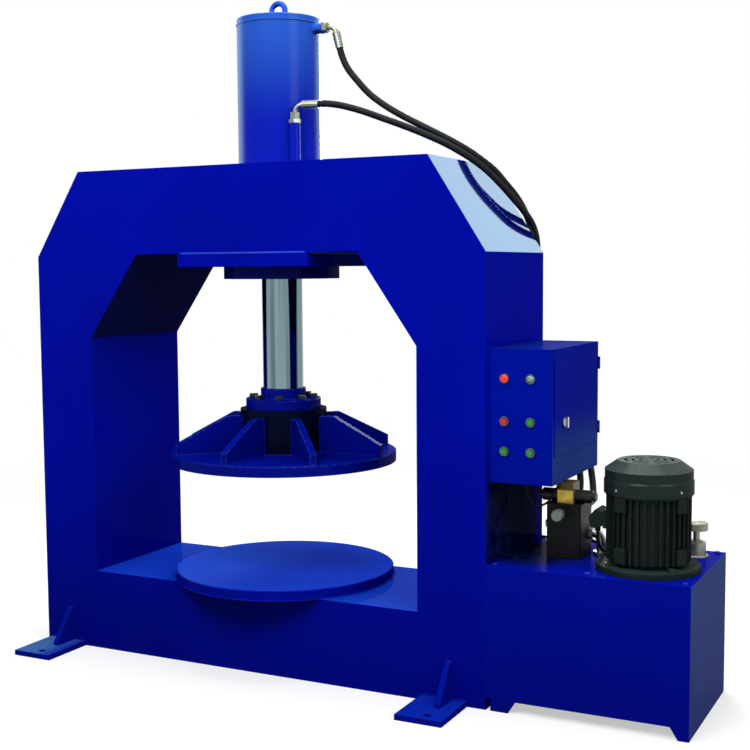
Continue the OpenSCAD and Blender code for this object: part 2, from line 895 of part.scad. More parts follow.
module clamp_bolts() {
    color(zinc) translate([0, 0, ring_top]) on_circle(ring_bolts, ring_bolt_r, 180 / ring_bolts) {
        hex(ring_bolt_af, ring_bolt_head);
        translate([0, 0, -ring_t - ring_bolt_depth])
            cylinder(d = ring_bolt_d, h = ring_t + ring_bolt_depth);
    }
}

// Copies at the places of the buttons and lamps, on the face of the box with +Y going inwards
module at_operator(column, row) {
    translate([box_x + column_out[column], box_y, box_z + row_up[row]]) children();
}

module at_operators() {
    for (column = [0, 1], row = [0, 1, 2])
        at_operator(column, row) children();
}

module at_hinges() {
    for (z = [door_z0 + hinge_inset, door_z1 - hinge_inset])
        translate([hinge_x, hinge_y, z]) children();
}

module at_glands() {
    for (i = [0 : len(gland_out) - 1])
        translate([box_x + gland_out[i], box_y + gland_back[i], box_z]) children();
}

module control_box() {
    hole_z = door_z0 + door_lap;
    door_hole = [2 * box_wall, box_d - 2 * border, box_top - border_top - hole_z];
    color(paint) {
        difference() {
            translate([box_x, box_y, box_z]) cube([box_w, box_d, box_h]);
            translate([box_x + box_wall, box_y + box_wall, box_z + box_wall])
                cube([box_w - 2 * box_wall, box_d - 2 * box_wall, box_h - 2 * box_wall]);
            translate([box_x1 - box_wall - overrun, box_y + border, hole_z]) cube(door_hole);
            at_operators() translate([0, -overrun, 0])
                bar_y(bushing_d + 2 * bolt_gap, box_wall + 2 * overrun);
            at_glands() translate([0, 0, -overrun])
                cylinder(d = gland_thread_d + 2 * bolt_gap, h = box_wall + 2 * overrun);
        }
        at_hinges() for (side = [-1, 1])
            translate([0, 0, side * (hinge_l + move_gap) - hinge_l / 2]) difference() {
                union() {
                    cylinder(d = hinge_d, h = hinge_l);
                    translate([box_x1 - hinge_x, -hinge_leaf / 2, 0])
                        cube([hinge_x - box_x1, hinge_leaf, hinge_l]);
                }
                translate([0, 0, -overrun])
                    cylinder(d = hinge_pin_d + 2 * weld_gap, h = hinge_l + 2 * overrun);
            }
    }
}

module control_door() {
    leaf_y = door_y1 - hinge_y - hinge_d;
    color(paint) {
        difference() {
            union() {
                translate([door_x, door_y0, door_z0])
                    cube([door_t, door_y1 - door_y0, door_z1 - door_z0]);
                translate([door_x + door_t, lock_y, lock_z]) bar_x(lock_rim_d, lock_rim_t);
            }
            translate([door_x - overrun, lock_y, lock_z])
                bar_x(lock_d + 2 * move_gap, door_t + lock_rim_t + 2 * overrun);
        }
        at_hinges() translate([0, 0, -hinge_l / 2]) difference() {
            union() {
                cylinder(d = hinge_d, h = hinge_l);
                translate([door_x + door_t - hinge_x, leaf_y, 0]) cube([hinge_leaf, -leaf_y, hinge_l]);
            }
            translate([0, 0, -overrun])
                cylinder(d = hinge_pin_d + 2 * run_gap, h = hinge_l + 2 * overrun);
        }
    }
}

module hinge_pins() {
    pin_l = 3 * hinge_l + 2 * move_gap;
    color(steel) at_hinges() translate([0, 0, -pin_l / 2]) cylinder(d = hinge_pin_d, h = pin_l);
}

module door_lock() {
    rim_x = door_x + door_t + lock_rim_t + move_gap;
    color(chrome) translate([0, lock_y, lock_z]) {
        translate([cam_x, 0, 0]) bar_x(lock_d, rim_x - cam_x);
        translate([rim_x, 0, 0]) bar_x(lock_rim_d, lock_cap_t);
        translate([rim_x + lock_cap_t, -lock_wing.y / 2, -lock_wing.z / 2]) cube(lock_wing);
        translate([cam_x, -cam_w / 2, -cam_w / 2]) cube([cam_t, cam_w, cam_reach + cam_w / 2]);
    }
}

module operator_bezels() {
    color(chrome) at_operators() difference() {
        union() {
            translate([0, -bezel_h, 0]) bar_y(bezel_d, bezel_h);
            bar_y(bushing_d, bushing_l + box_wall);
            translate([0, box_wall, 0]) bar_y(locknut_d, locknut_h);
            translate([-contact_block.x / 2, box_wall + bushing_l, -contact_block.z / 2])
                cube(contact_block);
        }
        translate([0, -bezel_h - overrun, 0]) bar_y(button_d + 2 * move_gap, bezel_h + overrun);
        translate([0, -overrun, 0]) bar_y(button_stem_d + 2 * move_gap, bushing_l + overrun);
    }
}

// Lamp lens: a low dome on a round body, seated in its bezel
module lamp() {
    translate([0, -lamp_h, 0]) bar_y(button_d, lamp_h);
    translate([0, -lamp_h, 0]) rotate([90, 0, 0])
        cylinder(d1 = button_d, d2 = button_d / 2, h = lamp_dome);
}

module red_lamp() {
    color([0.75, 0.05, 0.04]) at_operator(0, 0) lamp();
}

module green_lamp() {
    color([0.35, 0.5, 0.45]) at_operator(1, 0) lamp();
}

// Push button: a flat head in front of the bezel on a stem that runs in the bushing
module push_button() {
    translate([0, -bezel_h - button_stand, 0]) bar_y(button_d, button_h);
    translate([0, button_h - bezel_h - button_stand, 0]) bar_y(button_stem_d, button_stem_l);
}

module stop_button() {
    color([0.6, 0.06, 0.05]) at_operator(0, 1) push_button();
}

module start_button() {
    color([0.1, 0.45, 0.1]) at_operator(1, 1) push_button();
}

module raise_button() {
    color([0.1, 0.45, 0.1]) at_operator(0, 2) push_button();
}

module lower_button() {
    color([0.1, 0.45, 0.1]) at_operator(1, 2) push_button();
}

module control_gear() {
    plate_x = box_x + box_wall + gear_stand;
    color(steel) {
        translate([plate_x, gear_y, gear_z]) cube([gear_plate_t, gear_plate_d, gear_plate_h]);
        for (y = [stud_edge, gear_plate_d - stud_edge], z = [stud_edge, gear_plate_h - stud_edge])
            translate([box_x + box_wall, gear_y + y, gear_z + z]) bar_x(stud_d, gear_stand);
    }
    color(black_oxide) for (i = [0 : len(gear_size_shares) - 1])
        translate([plate_x + gear_plate_t, gear_y + gear_spot_shares[i].x * gear_plate_d,
            gear_z + gear_spot_shares[i].y * gear_plate_h])
            cube([gear_size_shares[i].x * gear_plate_h, gear_size_shares[i].y * gear_plate_d,
                gear_size_shares[i].z * gear_plate_h]);
}

module cable_glands() {
    color(black_oxide) at_glands() {
        translate([0, 0, -gland_nut_h]) hex(gland_af, gland_nut_h);
        translate([0, 0, -gland_nut_h - gland_nose_h])
            cylinder(d1 = gland_nose_d, d2 = gland_af, h = gland_nose_h);
        cylinder(d = gland_thread_d, h = box_wall + locknut_h);
        translate([0, 0, box_wall]) hex(gland_af, locknut_h);
    }
}

// Front or rear wall of the tank down to the ground, cut out between its legs
module tank_leg_outline() {
    polygon([[tank_x, tank_floor], [tank_x, leg_notch_h], [tank_x1, leg_notch_h], [tank_x1, 0],
        [tank_x1 - leg_right_w, 0], [tank_x1 - leg_right_w - leg_slant, tank_floor],
        [tank_x + leg_notch_w + leg_left_w + leg_slant, tank_floor],
        [tank_x + leg_notch_w + leg_left_w, 0], [tank_x + leg_notch_w, 0],
        [tank_x + leg_notch_w, tank_floor]]);
}

module oil_tank() {
    inner = [tank_w - 2 * tank_wall, tank_d - 2 * tank_wall, lid_z];
    rim = [tank_w - 2 * tank_rim, tank_d - 2 * tank_rim, lid_z];
    color(paint) {
        difference() {
            translate([tank_x, front_y, tank_floor]) cube([tank_w, tank_d, lid_z - tank_floor]);
            translate([tank_x + tank_wall, front_y + tank_wall, tank_floor + tank_wall])
                cube([inner.x, inner.y, lid_z - tank_floor - 2 * tank_wall]);
            translate([tank_x + tank_rim, front_y + tank_rim, tank_floor + 2 * tank_wall]) cube(rim);
        }
        along_y(front_y, tank_wall) tank_leg_outline();
        along_y(tank_y1 - tank_wall, tank_wall) tank_leg_outline();
        translate([tank_x1 - tank_wall, front_y, 0]) cube([tank_wall, tank_d, leg_notch_h]);
        translate([tank_x + leg_notch_w, front_y, 0]) cube([tank_wall, tank_d, leg_notch_h]);
    }
}

// Copies at the lid bolts: rows along the front and back edge
module at_lid_bolts() {
    pitch = (tank_w - 2 * lid_bolt_inset) / (lid_bolt_columns - 1);
    for (i = [0 : lid_bolt_columns - 1], y = [front_y + lid_bolt_inset, tank_y1 - lid_bolt_inset])
        translate([tank_x + lid_bolt_inset + i * pitch, y, 0]) children();
}

module at_motor(z) {
    translate([motor_x, motor_y, z]) children();
}

module tank_lid() {
    color(paint) difference() {
        translate([tank_x, front_y, lid_z]) cube([tank_w, tank_d, lid_t]);
        at_lid_bolts() translate([0, 0, lid_z - overrun])
            cylinder(d = lid_bolt_d + 2 * bolt_gap, h = lid_t + 2 * overrun);
        at_motor(lid_z - overrun) {
            cylinder(d = bellhousing_d - 2 * bellhousing_wall, h = lid_t + 2 * overrun);
            on_circle(motor_bolts, motor_bolt_circle / 2, 45)
                cylinder(d = motor_bolt_d + 2 * bolt_gap, h = lid_t + 2 * overrun);
        }
        translate([filler_x, filler_y, lid_z - overrun]) cylinder(d = neck_bore, h = lid_t + 2 * overrun);
    }
}

module lid_bolts() {
    color(zinc) {
        at_lid_bolts() translate([0, 0, tank_h]) {
            hex(lid_bolt_af, lid_bolt_head);
            translate([0, 0, -lid_t]) cylinder(d = lid_bolt_d, h = lid_t);
        }
        at_motor(motor_z + motor_flange_t) on_circle(motor_bolts, motor_bolt_circle / 2, 45) {
            hex(motor_bolt_af, motor_bolt_head);
            translate([0, 0, -motor_flange_t - lid_t])
                cylinder(d = motor_bolt_d, h = motor_flange_t + lid_t);
        }
    }
}

module motor_flange() {
    color(motor_green) at_motor(motor_z) difference() {
        union() {
            bevelled_disc(motor_flange_d, motor_flange_t, edge_bevel);
            translate([0, 0, motor_flange_t]) cylinder(d1 = bell_foot_d, d2 = core_d, h = bell_h);
        }
        translate([0, 0, -overrun])
            cylinder(d = shaft_d + 2 * run_gap, h = motor_flange_t + bell_h + 2 * overrun);
        on_circle(motor_bolts, motor_bolt_circle / 2, 45) translate([0, 0, -overrun])
            cylinder(d = motor_bolt_d + 2 * bolt_gap, h = motor_flange_t + 2 * overrun);
    }
}

module motor_housing() {
    pad_x = fin_d / 2 + pad_out;
    cover_seat_d = cover_d + 2 * (cover_step - cover_sheet - weld_gap);
    color(motor_green) at_motor(housing_z) difference() {
        union() {
            cylinder(d = core_d, h = housing_h + shield_t);
            on_circle(fin_count, 0) translate([0, -fin_t / 2, 0])
                cube([fin_d / 2, fin_t, housing_h - rim_t / 2]);
            translate([0, 0, housing_h - rim_t]) cylinder(d = fin_d + 2 * rim_out, h = rim_t);
            for (z = [0, housing_h - rim_t / 2 - lug_h])
                on_circle(lug_count, 0, lug_angle) translate([0, -lug_w / 2, z])
                    cube([fin_d / 2 + lug_out, lug_w, lug_h]);
            translate([0, 0, housing_h]) cylinder(d = cover_seat_d, h = cover_seat_h);
            translate([-pad_x, -terminal_w / 2, terminal_z - housing_z - terminal_h / 2])
                cube([pad_x, terminal_w, terminal_h]);
        }
        translate([0, 0, -overrun]) cylinder(d = stator_d, h = housing_h + overrun);
        cylinder(d = tail_shaft_d + 2 * run_gap, h = housing_h + 2 * shield_t);
    }
}

// Outside of the fan cover, or its inside when sheet is the sheet thickness, started below its rim
module cover_form(sheet, below) {
    skirt_d = cover_d + 2 * cover_step;
    translate([0, 0, -below]) cylinder(d = skirt_d - 2 * sheet, h = cover_skirt - sheet + below);
    translate([0, 0, cover_skirt - sheet])
        cylinder(d1 = skirt_d - 2 * sheet, d2 = cover_d - 2 * sheet, h = cover_bead);
    cylinder(d = cover_d - 2 * sheet, h = cover_h - cover_cone);
    translate([0, 0, cover_h - cover_cone])
        cylinder(d1 = cover_d - 2 * sheet, d2 = cover_top_d - 2 * sheet, h = cover_cone - sheet);
}

module fan_cover() {
    color(motor_green) at_motor(cover_z) difference() {
        cover_form(0, 0);
        cover_form(cover_sheet, overrun);
        for (i = [0 : slot_rings - 1])
            on_circle(slot_arcs, 0) translate([0, 0, cover_h - cover_cone])
                rotate_extrude(angle = slot_sweep) translate([slot_first_r + i * slot_pitch, 0])
                    square([slot_w, cover_cone + overrun]);
    }
}

// Terminal box on the frame side of the motor: a house shaped outline drawn outwards and up
module terminal_box() {
    wall_x = motor_x - fin_d / 2 - pad_out;
    outline = [for (p = terminal_shares) [-p.x * terminal_out, p.y * terminal_h]];
    gland_x = wall_x - terminal_gland_share * terminal_out;
    gland_z = terminal_z - terminal_h / 2;
    color(motor_green) {
        translate([wall_x, 0, terminal_z]) along_y(motor_y - terminal_w / 2, terminal_w) polygon(outline);
        translate([gland_x, motor_y, gland_z - terminal_gland_h])
            cylinder(d = terminal_gland_d, h = terminal_gland_h);
    }
}

module motor_rotor() {
    fan_z = cover_z + shield_t + fan_lift;
    coupling_z = lid_z - coupling_drop - coupling_h;
    pump_depth = pump_size.z / 3;
    pump_top = lid_z - bellhousing_h;
    color(steel) {
        at_motor(pump_top - pump_depth)
            cylinder(d = pump_shaft_d, h = coupling_z - pump_top + pump_depth);
        at_motor(coupling_z) cylinder(d = coupling_d, h = coupling_h);
        at_motor(coupling_z + coupling_h)
            cylinder(d = shaft_d, h = housing_z + rotor_inset - coupling_z - coupling_h);
        at_motor(housing_z + rotor_inset) cylinder(d = rotor_d, h = housing_h - 2 * rotor_inset);
        at_motor(cover_z - rotor_inset)
            cylinder(d = tail_shaft_d, h = fan_z + fan_h / 2 - cover_z + rotor_inset);
    }
    color(black_oxide) at_motor(fan_z) {
        cylinder(d = fan_hub_d, h = fan_h + fan_blade_t);
        cylinder(d = fan_d, h = fan_blade_t);
        on_circle(fan_blades, 0) translate([0, -fan_blade_t / 2, 0])
            cube([fan_d / 2 - fan_blade_t, fan_blade_t, fan_h]);
    }
}

module gear_pump() {
    pump_top = lid_z - bellhousing_h;
    pump_bottom = pump_top - pump_size.z;
    strainer_z = tank_floor + tank_wall + strainer_clear;
    color(steel) at_motor(0) difference() {
        union() {
            translate([0, 0, pump_top]) cylinder(d = bellhousing_d, h = bellhousing_h);
            translate([-pump_size.x / 2, -pump_size.y / 2, pump_bottom]) cube(pump_size);
            translate([0, 0, strainer_z]) cylinder(d = suction_d, h = pump_bottom - strainer_z);
            translate([0, 0, strainer_z]) cylinder(d = strainer_d, h = strainer_h);
        }
        translate([0, 0, pump_top])
            cylinder(d = bellhousing_d - 2 * bellhousing_wall, h = bellhousing_h + overrun);
        translate([0, 0, pump_top - pump_size.z / 2])
            cylinder(d = pump_shaft_d + 2 * run_gap, h = pump_size.z);
    }
}

module manifold_block() {
    bevel = manifold_bevel;
    outline = [[0, bevel], [bevel, 0], [manifold_w - bevel, 0], [manifold_w, bevel],
        [manifold_w, manifold_d - bevel], [manifold_w - bevel, manifold_d],
        [bevel, manifold_d], [0, manifold_d - bevel]];
    color(black_oxide) translate([manifold_x, manifold_y, tank_h])
        linear_extrude(manifold_h) polygon(outline);
}

module manifold_fittings() {
    color(zinc) {
        for (x = hose_port_places)
            translate([manifold_x + x, manifold_y1, hose_port_z]) {
                rotate([-90, 0, 0]) hex(adapter_af, adapter_h);
                translate([0, adapter_h, 0]) bar_y(ferrule_d, ferrule_l);
            }
        for (drop = plug_drops)
            translate([manifold_x - plug_h, manifold_y + plug_setback, manifold_top - drop])
                rotate([0, 90, 0]) hex(plug_af, plug_h);
    }
}

module directional_valve() {
    gland_z = manifold_top + valve_h + terminal_lid_h / 2;
    color(black_oxide) translate([valve_x - valve_w / 2, valve_y - valve_d / 2, manifold_top])
        cube([valve_w, valve_d, valve_h]);
    color(brass) {
        for (side = [0, 1])
            translate([valve_x, valve_y, manifold_top + coil_d / 2]) mirror([side, 0, 0]) {
                translate([valve_w / 2, 0, 0]) bar_x(coil_d, coil_l);
                translate([valve_w / 2 + coil_l, 0, 0]) bar_x(coil_cap_d, coil_cap_l);
            }
        translate([valve_x - valve_w / 2, valve_y - valve_d / 2, manifold_top + valve_h])
            cube([valve_w, valve_d, terminal_lid_h]);
        translate([valve_x - valve_gland_shift, valve_y - valve_d / 2 - valve_gland_h, gland_z])
            bar_y(valve_gland_d, valve_gland_h);
    }
}

module at_relief(y) {
    translate([relief_x, y, relief_z]) children();
}

module relief_valve() {
    color(zinc) {
        at_relief(manifold_y - relief_hex_h) rotate([-90, 0, 0]) hex(relief_af, relief_hex_h);
        at_relief(manifold_y - relief_hex_h - relief_stem_h) bar_y(relief_stem_d, relief_stem_h);
    }
}

module relief_knob() {
    color(steel) at_relief(manifold_y - relief_hex_h - relief_stem_h) rotate([90, 0, 0]) difference() {
        translate([0, 0, move_gap - knob_h / 2]) bevelled_disc(knob_d, knob_h, edge_bevel);
        translate([0, 0, -knob_h]) cylinder(d = relief_stem_d + 2 * run_gap, h = knob_h);
        on_circle(knob_grooves, knob_d / 2) translate([0, 0, -knob_h])
            cylinder(d = knob_groove_d, h = 2 * knob_h);
    }
}

module pressure_pipe() {
    bend_x = manifold_x1 + pressure_stub;
    pipe_bottom = pressure_pipe_z - pressure_bend;
    color(steel) translate([0, pressure_pipe_y, 0]) {
        translate([manifold_x1, 0, pressure_pipe_z]) rotate([0, 90, 0])
            hex(pressure_nut_af, pressure_nut_h);
        translate([manifold_x1, 0, pressure_pipe_z]) bar_x(pressure_pipe_d, pressure_stub);
        translate([bend_x, 0, pressure_pipe_z]) bend(pressure_pipe_d, pressure_bend, 90);
        translate([bend_x + pressure_bend, 0, tank_h])
            cylinder(d = pressure_pipe_d, h = pipe_bottom - tank_h);
        translate([bend_x + pressure_bend, 0, tank_h])
            cylinder(d = pressure_collar_d, h = pressure_collar_h);
    }
}

module at_filler(z) {
    translate([filler_x, filler_y, z]) children();
}

module filler_neck() {
    color(chrome) at_filler(tank_h) difference() {
        union() {
            bevelled_disc(neck_flange_d, neck_flange_t, edge_bevel);
            cylinder(d = neck_d, h = neck_h);
        }
        translate([0, 0, -overrun]) cylinder(d = neck_bore, h = neck_h + 2 * overrun);
    }
}

module filler_cap() {
    color(chrome) at_filler(tank_h + neck_h) {
        translate([0, 0, -filler_spigot])
            cylinder(d = neck_bore - 2 * move_gap, h = filler_spigot + move_gap);
        translate([0, 0, move_gap]) bevelled_disc(filler_collar_d, filler_collar_h, edge_bevel);
        cylinder(d = filler_stem_d, h = filler_stem_h);
        translate([0, 0, filler_stem_h]) bevelled_disc(filler_d, filler_head_h, edge_bevel);
    }
}

module motor_cable() {
    color(rubber) swept_tube(motor_cable_route, motor_cable_d, 10);
}

module solenoid_cable() {
    color(rubber) swept_tube(solenoid_cable_route, solenoid_cable_d, 10);
}

front_frame_plate();
rear_frame_plate();
outer_skin_plates();
inner_skin_plates();
base_plate();
stiffener_ribs();
foot_plates();
foot_gussets();
table_plate();
cylinder_mount_plate();
cylinder_barrel();
cylinder_cap();
cylinder_flange();
flange_bolts();
gland_bush();
lifting_eye();
rod_side_pipe();
upper_hose_fitting();
lower_hose_fitting();
cap_side_hose();
rod_side_hose();
piston_rod();
piston();
platen_disc();
platen_ribs();
platen_hub();
clamp_ring();
clamp_bolts();
control_box();
operator_bezels();
red_lamp();
green_lamp();
control_gear();
cable_glands();
control_door();
hinge_pins();
door_lock();
stop_button();
start_button();
raise_button();
lower_button();
oil_tank();
tank_lid();
lid_bolts();
motor_housing();
motor_flange();
fan_cover();
terminal_box();
motor_rotor();
gear_pump();
manifold_block();
directional_valve();
relief_valve();
relief_knob();
manifold_fittings();
pressure_pipe();
filler_neck();
filler_cap();
motor_cable();
solenoid_cable();
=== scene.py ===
import math

import bmesh
import bpy
import numpy as np
from mathutils import Matrix, Vector


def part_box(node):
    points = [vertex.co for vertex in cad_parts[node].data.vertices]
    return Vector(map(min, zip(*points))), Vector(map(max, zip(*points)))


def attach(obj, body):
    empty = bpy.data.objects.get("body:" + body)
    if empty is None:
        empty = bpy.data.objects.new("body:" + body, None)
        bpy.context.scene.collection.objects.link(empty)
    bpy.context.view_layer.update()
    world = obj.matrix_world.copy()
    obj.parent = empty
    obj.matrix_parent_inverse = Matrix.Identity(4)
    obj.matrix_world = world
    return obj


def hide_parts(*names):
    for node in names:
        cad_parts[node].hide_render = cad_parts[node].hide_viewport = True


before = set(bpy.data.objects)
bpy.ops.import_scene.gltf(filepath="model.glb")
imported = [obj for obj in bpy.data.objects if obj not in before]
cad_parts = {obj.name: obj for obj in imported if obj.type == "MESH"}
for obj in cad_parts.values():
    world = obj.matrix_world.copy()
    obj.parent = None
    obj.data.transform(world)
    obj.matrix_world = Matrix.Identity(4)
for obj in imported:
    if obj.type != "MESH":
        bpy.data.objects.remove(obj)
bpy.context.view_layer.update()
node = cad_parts


# Frame weldment. Thick front and rear plates, with closing plates between them, welded, ground
# flush, and sprayed in one coat of glossy ultramarine. The cut edges are a lighter blue, worn paint
# with painted highlight; the flat tops a brighter blue, workshop dust with painted light; faces that
# look down and faces low down are painted darker as shade; and a painted shadow, veined like oil,
# darkens what faces the valve block.
class Shade:
    """A shader socket in a formula: +, - and * add Math nodes, and node() adds any other node."""

    def __init__(self, tree, socket=None):
        self.tree, self.socket = tree, socket

    def node(self, kind, settings=None, inputs=None, output=0):
        """Adds a node, applies its settings, sets or links its inputs, and returns one output."""
        made = self.tree.nodes.new(kind)
        for key, value in (settings or {}).items():
            setattr(made, key, value)
        for key, value in (inputs or {}).items():
            if isinstance(value, Shade):
                self.tree.links.new(value.socket, made.inputs[key])
            else:
                made.inputs[key].default_value = value
        return Shade(self.tree, made.outputs[output])

    def math(self, work, a, b=0.0):
        """Adds a Math node."""
        return self.node("ShaderNodeMath", {"operation": work}, {0: a, 1: b})

    def __add__(self, other):
        return self.math("ADD", self, other)

    def __sub__(self, other):
        return self.math("SUBTRACT", self, other)

    def __rsub__(self, other):
        return self.math("SUBTRACT", other, self)

    def __mul__(self, other):
        return self.math("MULTIPLY", self, other)

    __radd__, __rmul__ = __add__, __mul__

    def step(self, low, high):
        """0 at low, 1 at high, and a smooth rise between."""
        return self.node("ShaderNodeMapRange", {"interpolation_type": "SMOOTHSTEP"},
                         {0: self, 1: low, 2: high})

    def mix(self, one, two):
        """Colour one where this value is 0, colour two where it is 1."""
        ends = [colour if isinstance(colour, Shade) else (*colour, 1) for colour in (one, two)]
        return self.node("ShaderNodeMix", {"data_type": "RGBA"}, {0: self, 6: ends[0], 7: ends[1]}, 2)


def new_finish(name, **constants):
    """A material with its Principled shader's constants set; returns it, the shader and a Shade."""
    made = bpy.data.materials.new(name)
    made.use_nodes = True
    shader = made.node_tree.nodes["Principled BSDF"]
    for key, value in constants.items():
        shader.inputs[key.replace("_", " ")].default_value = value
    return made, shader, Shade(made.node_tree)


def feed(shader, **values):
    """Links what varies over a surface to the shader's sockets."""
    for key, value in values.items():
        value.tree.links.new(value.socket, shader.inputs[key.replace("_", " ")])


def noise(place, scale, detail, twist=0.0):
    """Cloudy noise over a place, with a scale, a number of finer layers and a twist."""
    return place.node("ShaderNodeTexNoise", None,
                      {"Vector": place, "Scale": scale, "Detail": detail, "Distortion": twist})


def along(vector, axis):
    """One part of a vector: 0 for x, 1 for y, 2 for z."""
    return vector.node("ShaderNodeSeparateXYZ", None, {0: vector}, axis)


def distance(one, two):
    """How far apart two points are."""
    return one.node("ShaderNodeVectorMath", {"operation": "DISTANCE"}, {0: one, 1: two}, 1)


def softened(at, radius):
    """The surface direction, with edges rounded off by a radius."""
    return at.node("ShaderNodeBevel", {"samples": 4}, {"Radius": radius})


def bump(pattern, strength, depth, **normal):
    """The surface direction bent by a pattern of some depth, on top of a Normal where one is given."""
    return pattern.node("ShaderNodeBump", None,
                        {"Height": pattern, "Strength": strength, "Distance": depth, **normal})


def toned(colour, share):
    """A colour times a share, at most 1 in each part."""
    return [min(1, part * share) for part in colour]


# Painted shadow by the valve block, under the control box: its centre and reach.
shadow_centre = (1.06, -0.02, 0.6)
shadow_near, shadow_far = 0.28, 0.5
# Painted shade: faces below this height are darker towards the bottom.
low_shade_height = 0.9
peel_depth = 0.0006
# Painted shade: the colour that undersides are darkened towards.
underside_shade = (0.0008, 0.003, 0.015)
# Colours of the painted shadow by the valve block, veined like oil.
deep_shadow_colour, light_shadow_colour = (0.0012, 0.003, 0.014), (0.006, 0.013, 0.05)
# Pale blue tint of the mirror on slopes, tops and walls: a painted sky colour in the reflection.
painted_sky_tint = (0.5, 0.8, 1.0, 1)


def paint(name, colour, edge_colour, overlay, shine=0.08, film=0.5, peel=0.04, blur=0.1, clear=1.6,
          round_off=0.003, valve_shadow=0.0, slopes=0.0, tops=0.0, walls=0.0, pale=None):
    """Sprayed paint: cloudy tone, orange peel, an edge colour, a colour on tops, and painted shade.

    The edge colour is worn paint with painted highlight where it is lighter than the paint and painted
    shade where it is darker, and round_off is how far it reaches. The colour given for upward faces is
    dust, with painted light on tops where it is a brighter blue and painted shade where it is darker,
    and film is how much of it lies there. Peel is how rough the skin is. The gloss is a clear coat
    with weight shine, roughness blur and index clear. Slopes, tops and walls add a mirror of the
    surround, tinted pale blue as a painted sky, on leaning, level and upright faces seen at a low
    angle. Undersides are painted darker as shade, and so are faces low down, darker towards the
    bottom. A weight sets how strongly a painted shadow, veined like oil, darkens what faces the valve
    block. Pale is a lighter colour with the axis along which it comes in, the places where it starts
    and is full, and the side it keeps to, if any; on the table, cylinder, box and tank it is painted
    light and reflection.
    """
    made, shader, at = new_finish(name, Specular_IOR_Level=0.0, Coat_Weight=shine,
                                  Coat_Roughness=blur, Coat_IOR=clear)
    place = at.node("ShaderNodeTexCoord", output="Object")
    normal = at.node("ShaderNodeNewGeometry", output="Normal")
    bent = softened(at, round_off)
    cloud = noise(place, 1.7, 5.0)
    speck = noise(place, 60.0, 4.0)
    grain = noise(place, 300.0, 2.0)
    vein = noise(place, 16.0, 6.0, 1.2)
    facing = at.node("ShaderNodeVectorMath", {"operation": "DOT_PRODUCT"}, {0: normal, 1: bent}, 1)
    edge = (1 - facing).step(0.04, 0.3)
    lean = along(normal, 2)
    right = along(normal, 0).step(0.3, 0.7)
    up = lean.step(0.6, 0.97)
    # Painted shade on faces that look down.
    under = (0 - lean).step(0.2, 0.5)
    slope = lean.step(0.3, 0.5) * (1 - lean.step(0.62, 0.8))
    tone = cloud.step(0.25, 0.75).mix(toned(colour, 0.86), toned(colour, 1.1))
    if pale:
        # Pale on the table, cylinder, box and tank: painted light and reflection; on the left foot, a
        # paler top.
        pale_share = along(place, pale["axis"]).step(pale["start"], pale["full"]) * (cloud * 0.5 + 0.6)
        side = {"right": right, "top": up}.get(pale.get("side"), 1)
        tone = (pale_share * side).mix(tone, pale["colour"])
    # Painted shade: darker towards the bottom, with speckle.
    low_shade = (1 - along(place, 2).step(0.0, low_shade_height)) * (speck * 0.3 + 0.45)
    low_shaded = low_shade.mix(tone, toned(colour, 0.5))
    # Edge colour: worn paint, with painted highlight where it is lighter and painted shade where it is
    # darker.
    edge_toned = (edge * speck.step(0.35, 0.65)).mix(low_shaded, edge_colour)
    underside_shaded = (under * 0.8).mix(edge_toned, underside_shade)
    # Colour on upward faces: dust, with painted light where it is a brighter blue than the paint and
    # painted shade where darker.
    cover = up * (speck * 0.5 + cloud * 0.5) * film * 2
    overlaid = cover.mix(underside_shaded, overlay)
    # Painted shadow, veined like oil, on upward and right faces near the valve block.
    ragged = distance(place, shadow_centre) * (up * 0.5 + 1) + speck * 0.06 + cloud * 0.08
    painted_shadow = (1 - ragged.step(shadow_near, shadow_far)) * at.math("MAXIMUM", up, right)
    dark_streaks = vein.step(0.42, 0.68).mix(deep_shadow_colour, light_shadow_colour)
    feed(shader, Base_Color=(painted_shadow * valve_shadow).mix(overlaid, dark_streaks),
         Roughness=cover * 0.2 + speck * 0.1 + 0.35,
         Normal=bump(grain, peel, peel_depth, Normal=bent))
    # Mirror of the white surround on slopes, tops and walls, tinted pale blue as a painted sky.
    if slopes or tops or walls:
        tree = made.node_tree
        sky = at.node("ShaderNodeBsdfPrincipled", None,
                      {"Base Color": painted_sky_tint, "Metallic": 1.0, "Roughness": 0.06})
        low_sight = at.node("ShaderNodeLayerWeight", None, {"Blend": 0.5}, "Facing").step(0.4, 0.72)
        mirror = low_sight * (slope * slopes + up * tops + (1 - up) * walls)
        coat = Shade(tree, shader.outputs[0])
        both = at.node("ShaderNodeMixShader", None, {0: mirror, 1: coat, 2: sky})
        tree.links.new(both.socket, tree.nodes["Material Output"].inputs["Surface"])
    return made


def wear(material, *names):
    """Gives a material to CAD nodes."""
    for name in names:
        for place in node[name].material_slots:
            place.material = material


# Painted highlight on edges, painted light on tops, painted sky on slopes, painted shadow by the valves.
frame_paint = paint("frame_paint", (0.0004, 0.0036, 0.33), edge_colour=(0.004, 0.02, 0.42),
                    overlay=(0.007, 0.05, 0.5), shine=0.012, film=0.7, valve_shadow=0.9, slopes=0.72, tops=0.014)
wear(frame_paint, "front_frame_plate", "rear_frame_plate", "outer_skin_plates", "inner_skin_plates",
     "base_plate", "stiffener_ribs")


# Weld beads of the frame. Hand-laid fillets with a fish-scale ripple hold the gussets to the feet
# and to the frame, the feet to the frame, and the mount plate to the crown, all painted over.
def quads(rings, sides):
    """Corner numbers of the faces between rings of points: each takes two neighbours on two rings."""
    i, j = np.divmod(np.arange((rings - 1) * sides), sides)
    k = (j + 1) % sides
    return np.stack([i * sides + j, i * sides + k, (i + 1) * sides + k, (i + 1) * sides + j], -1)


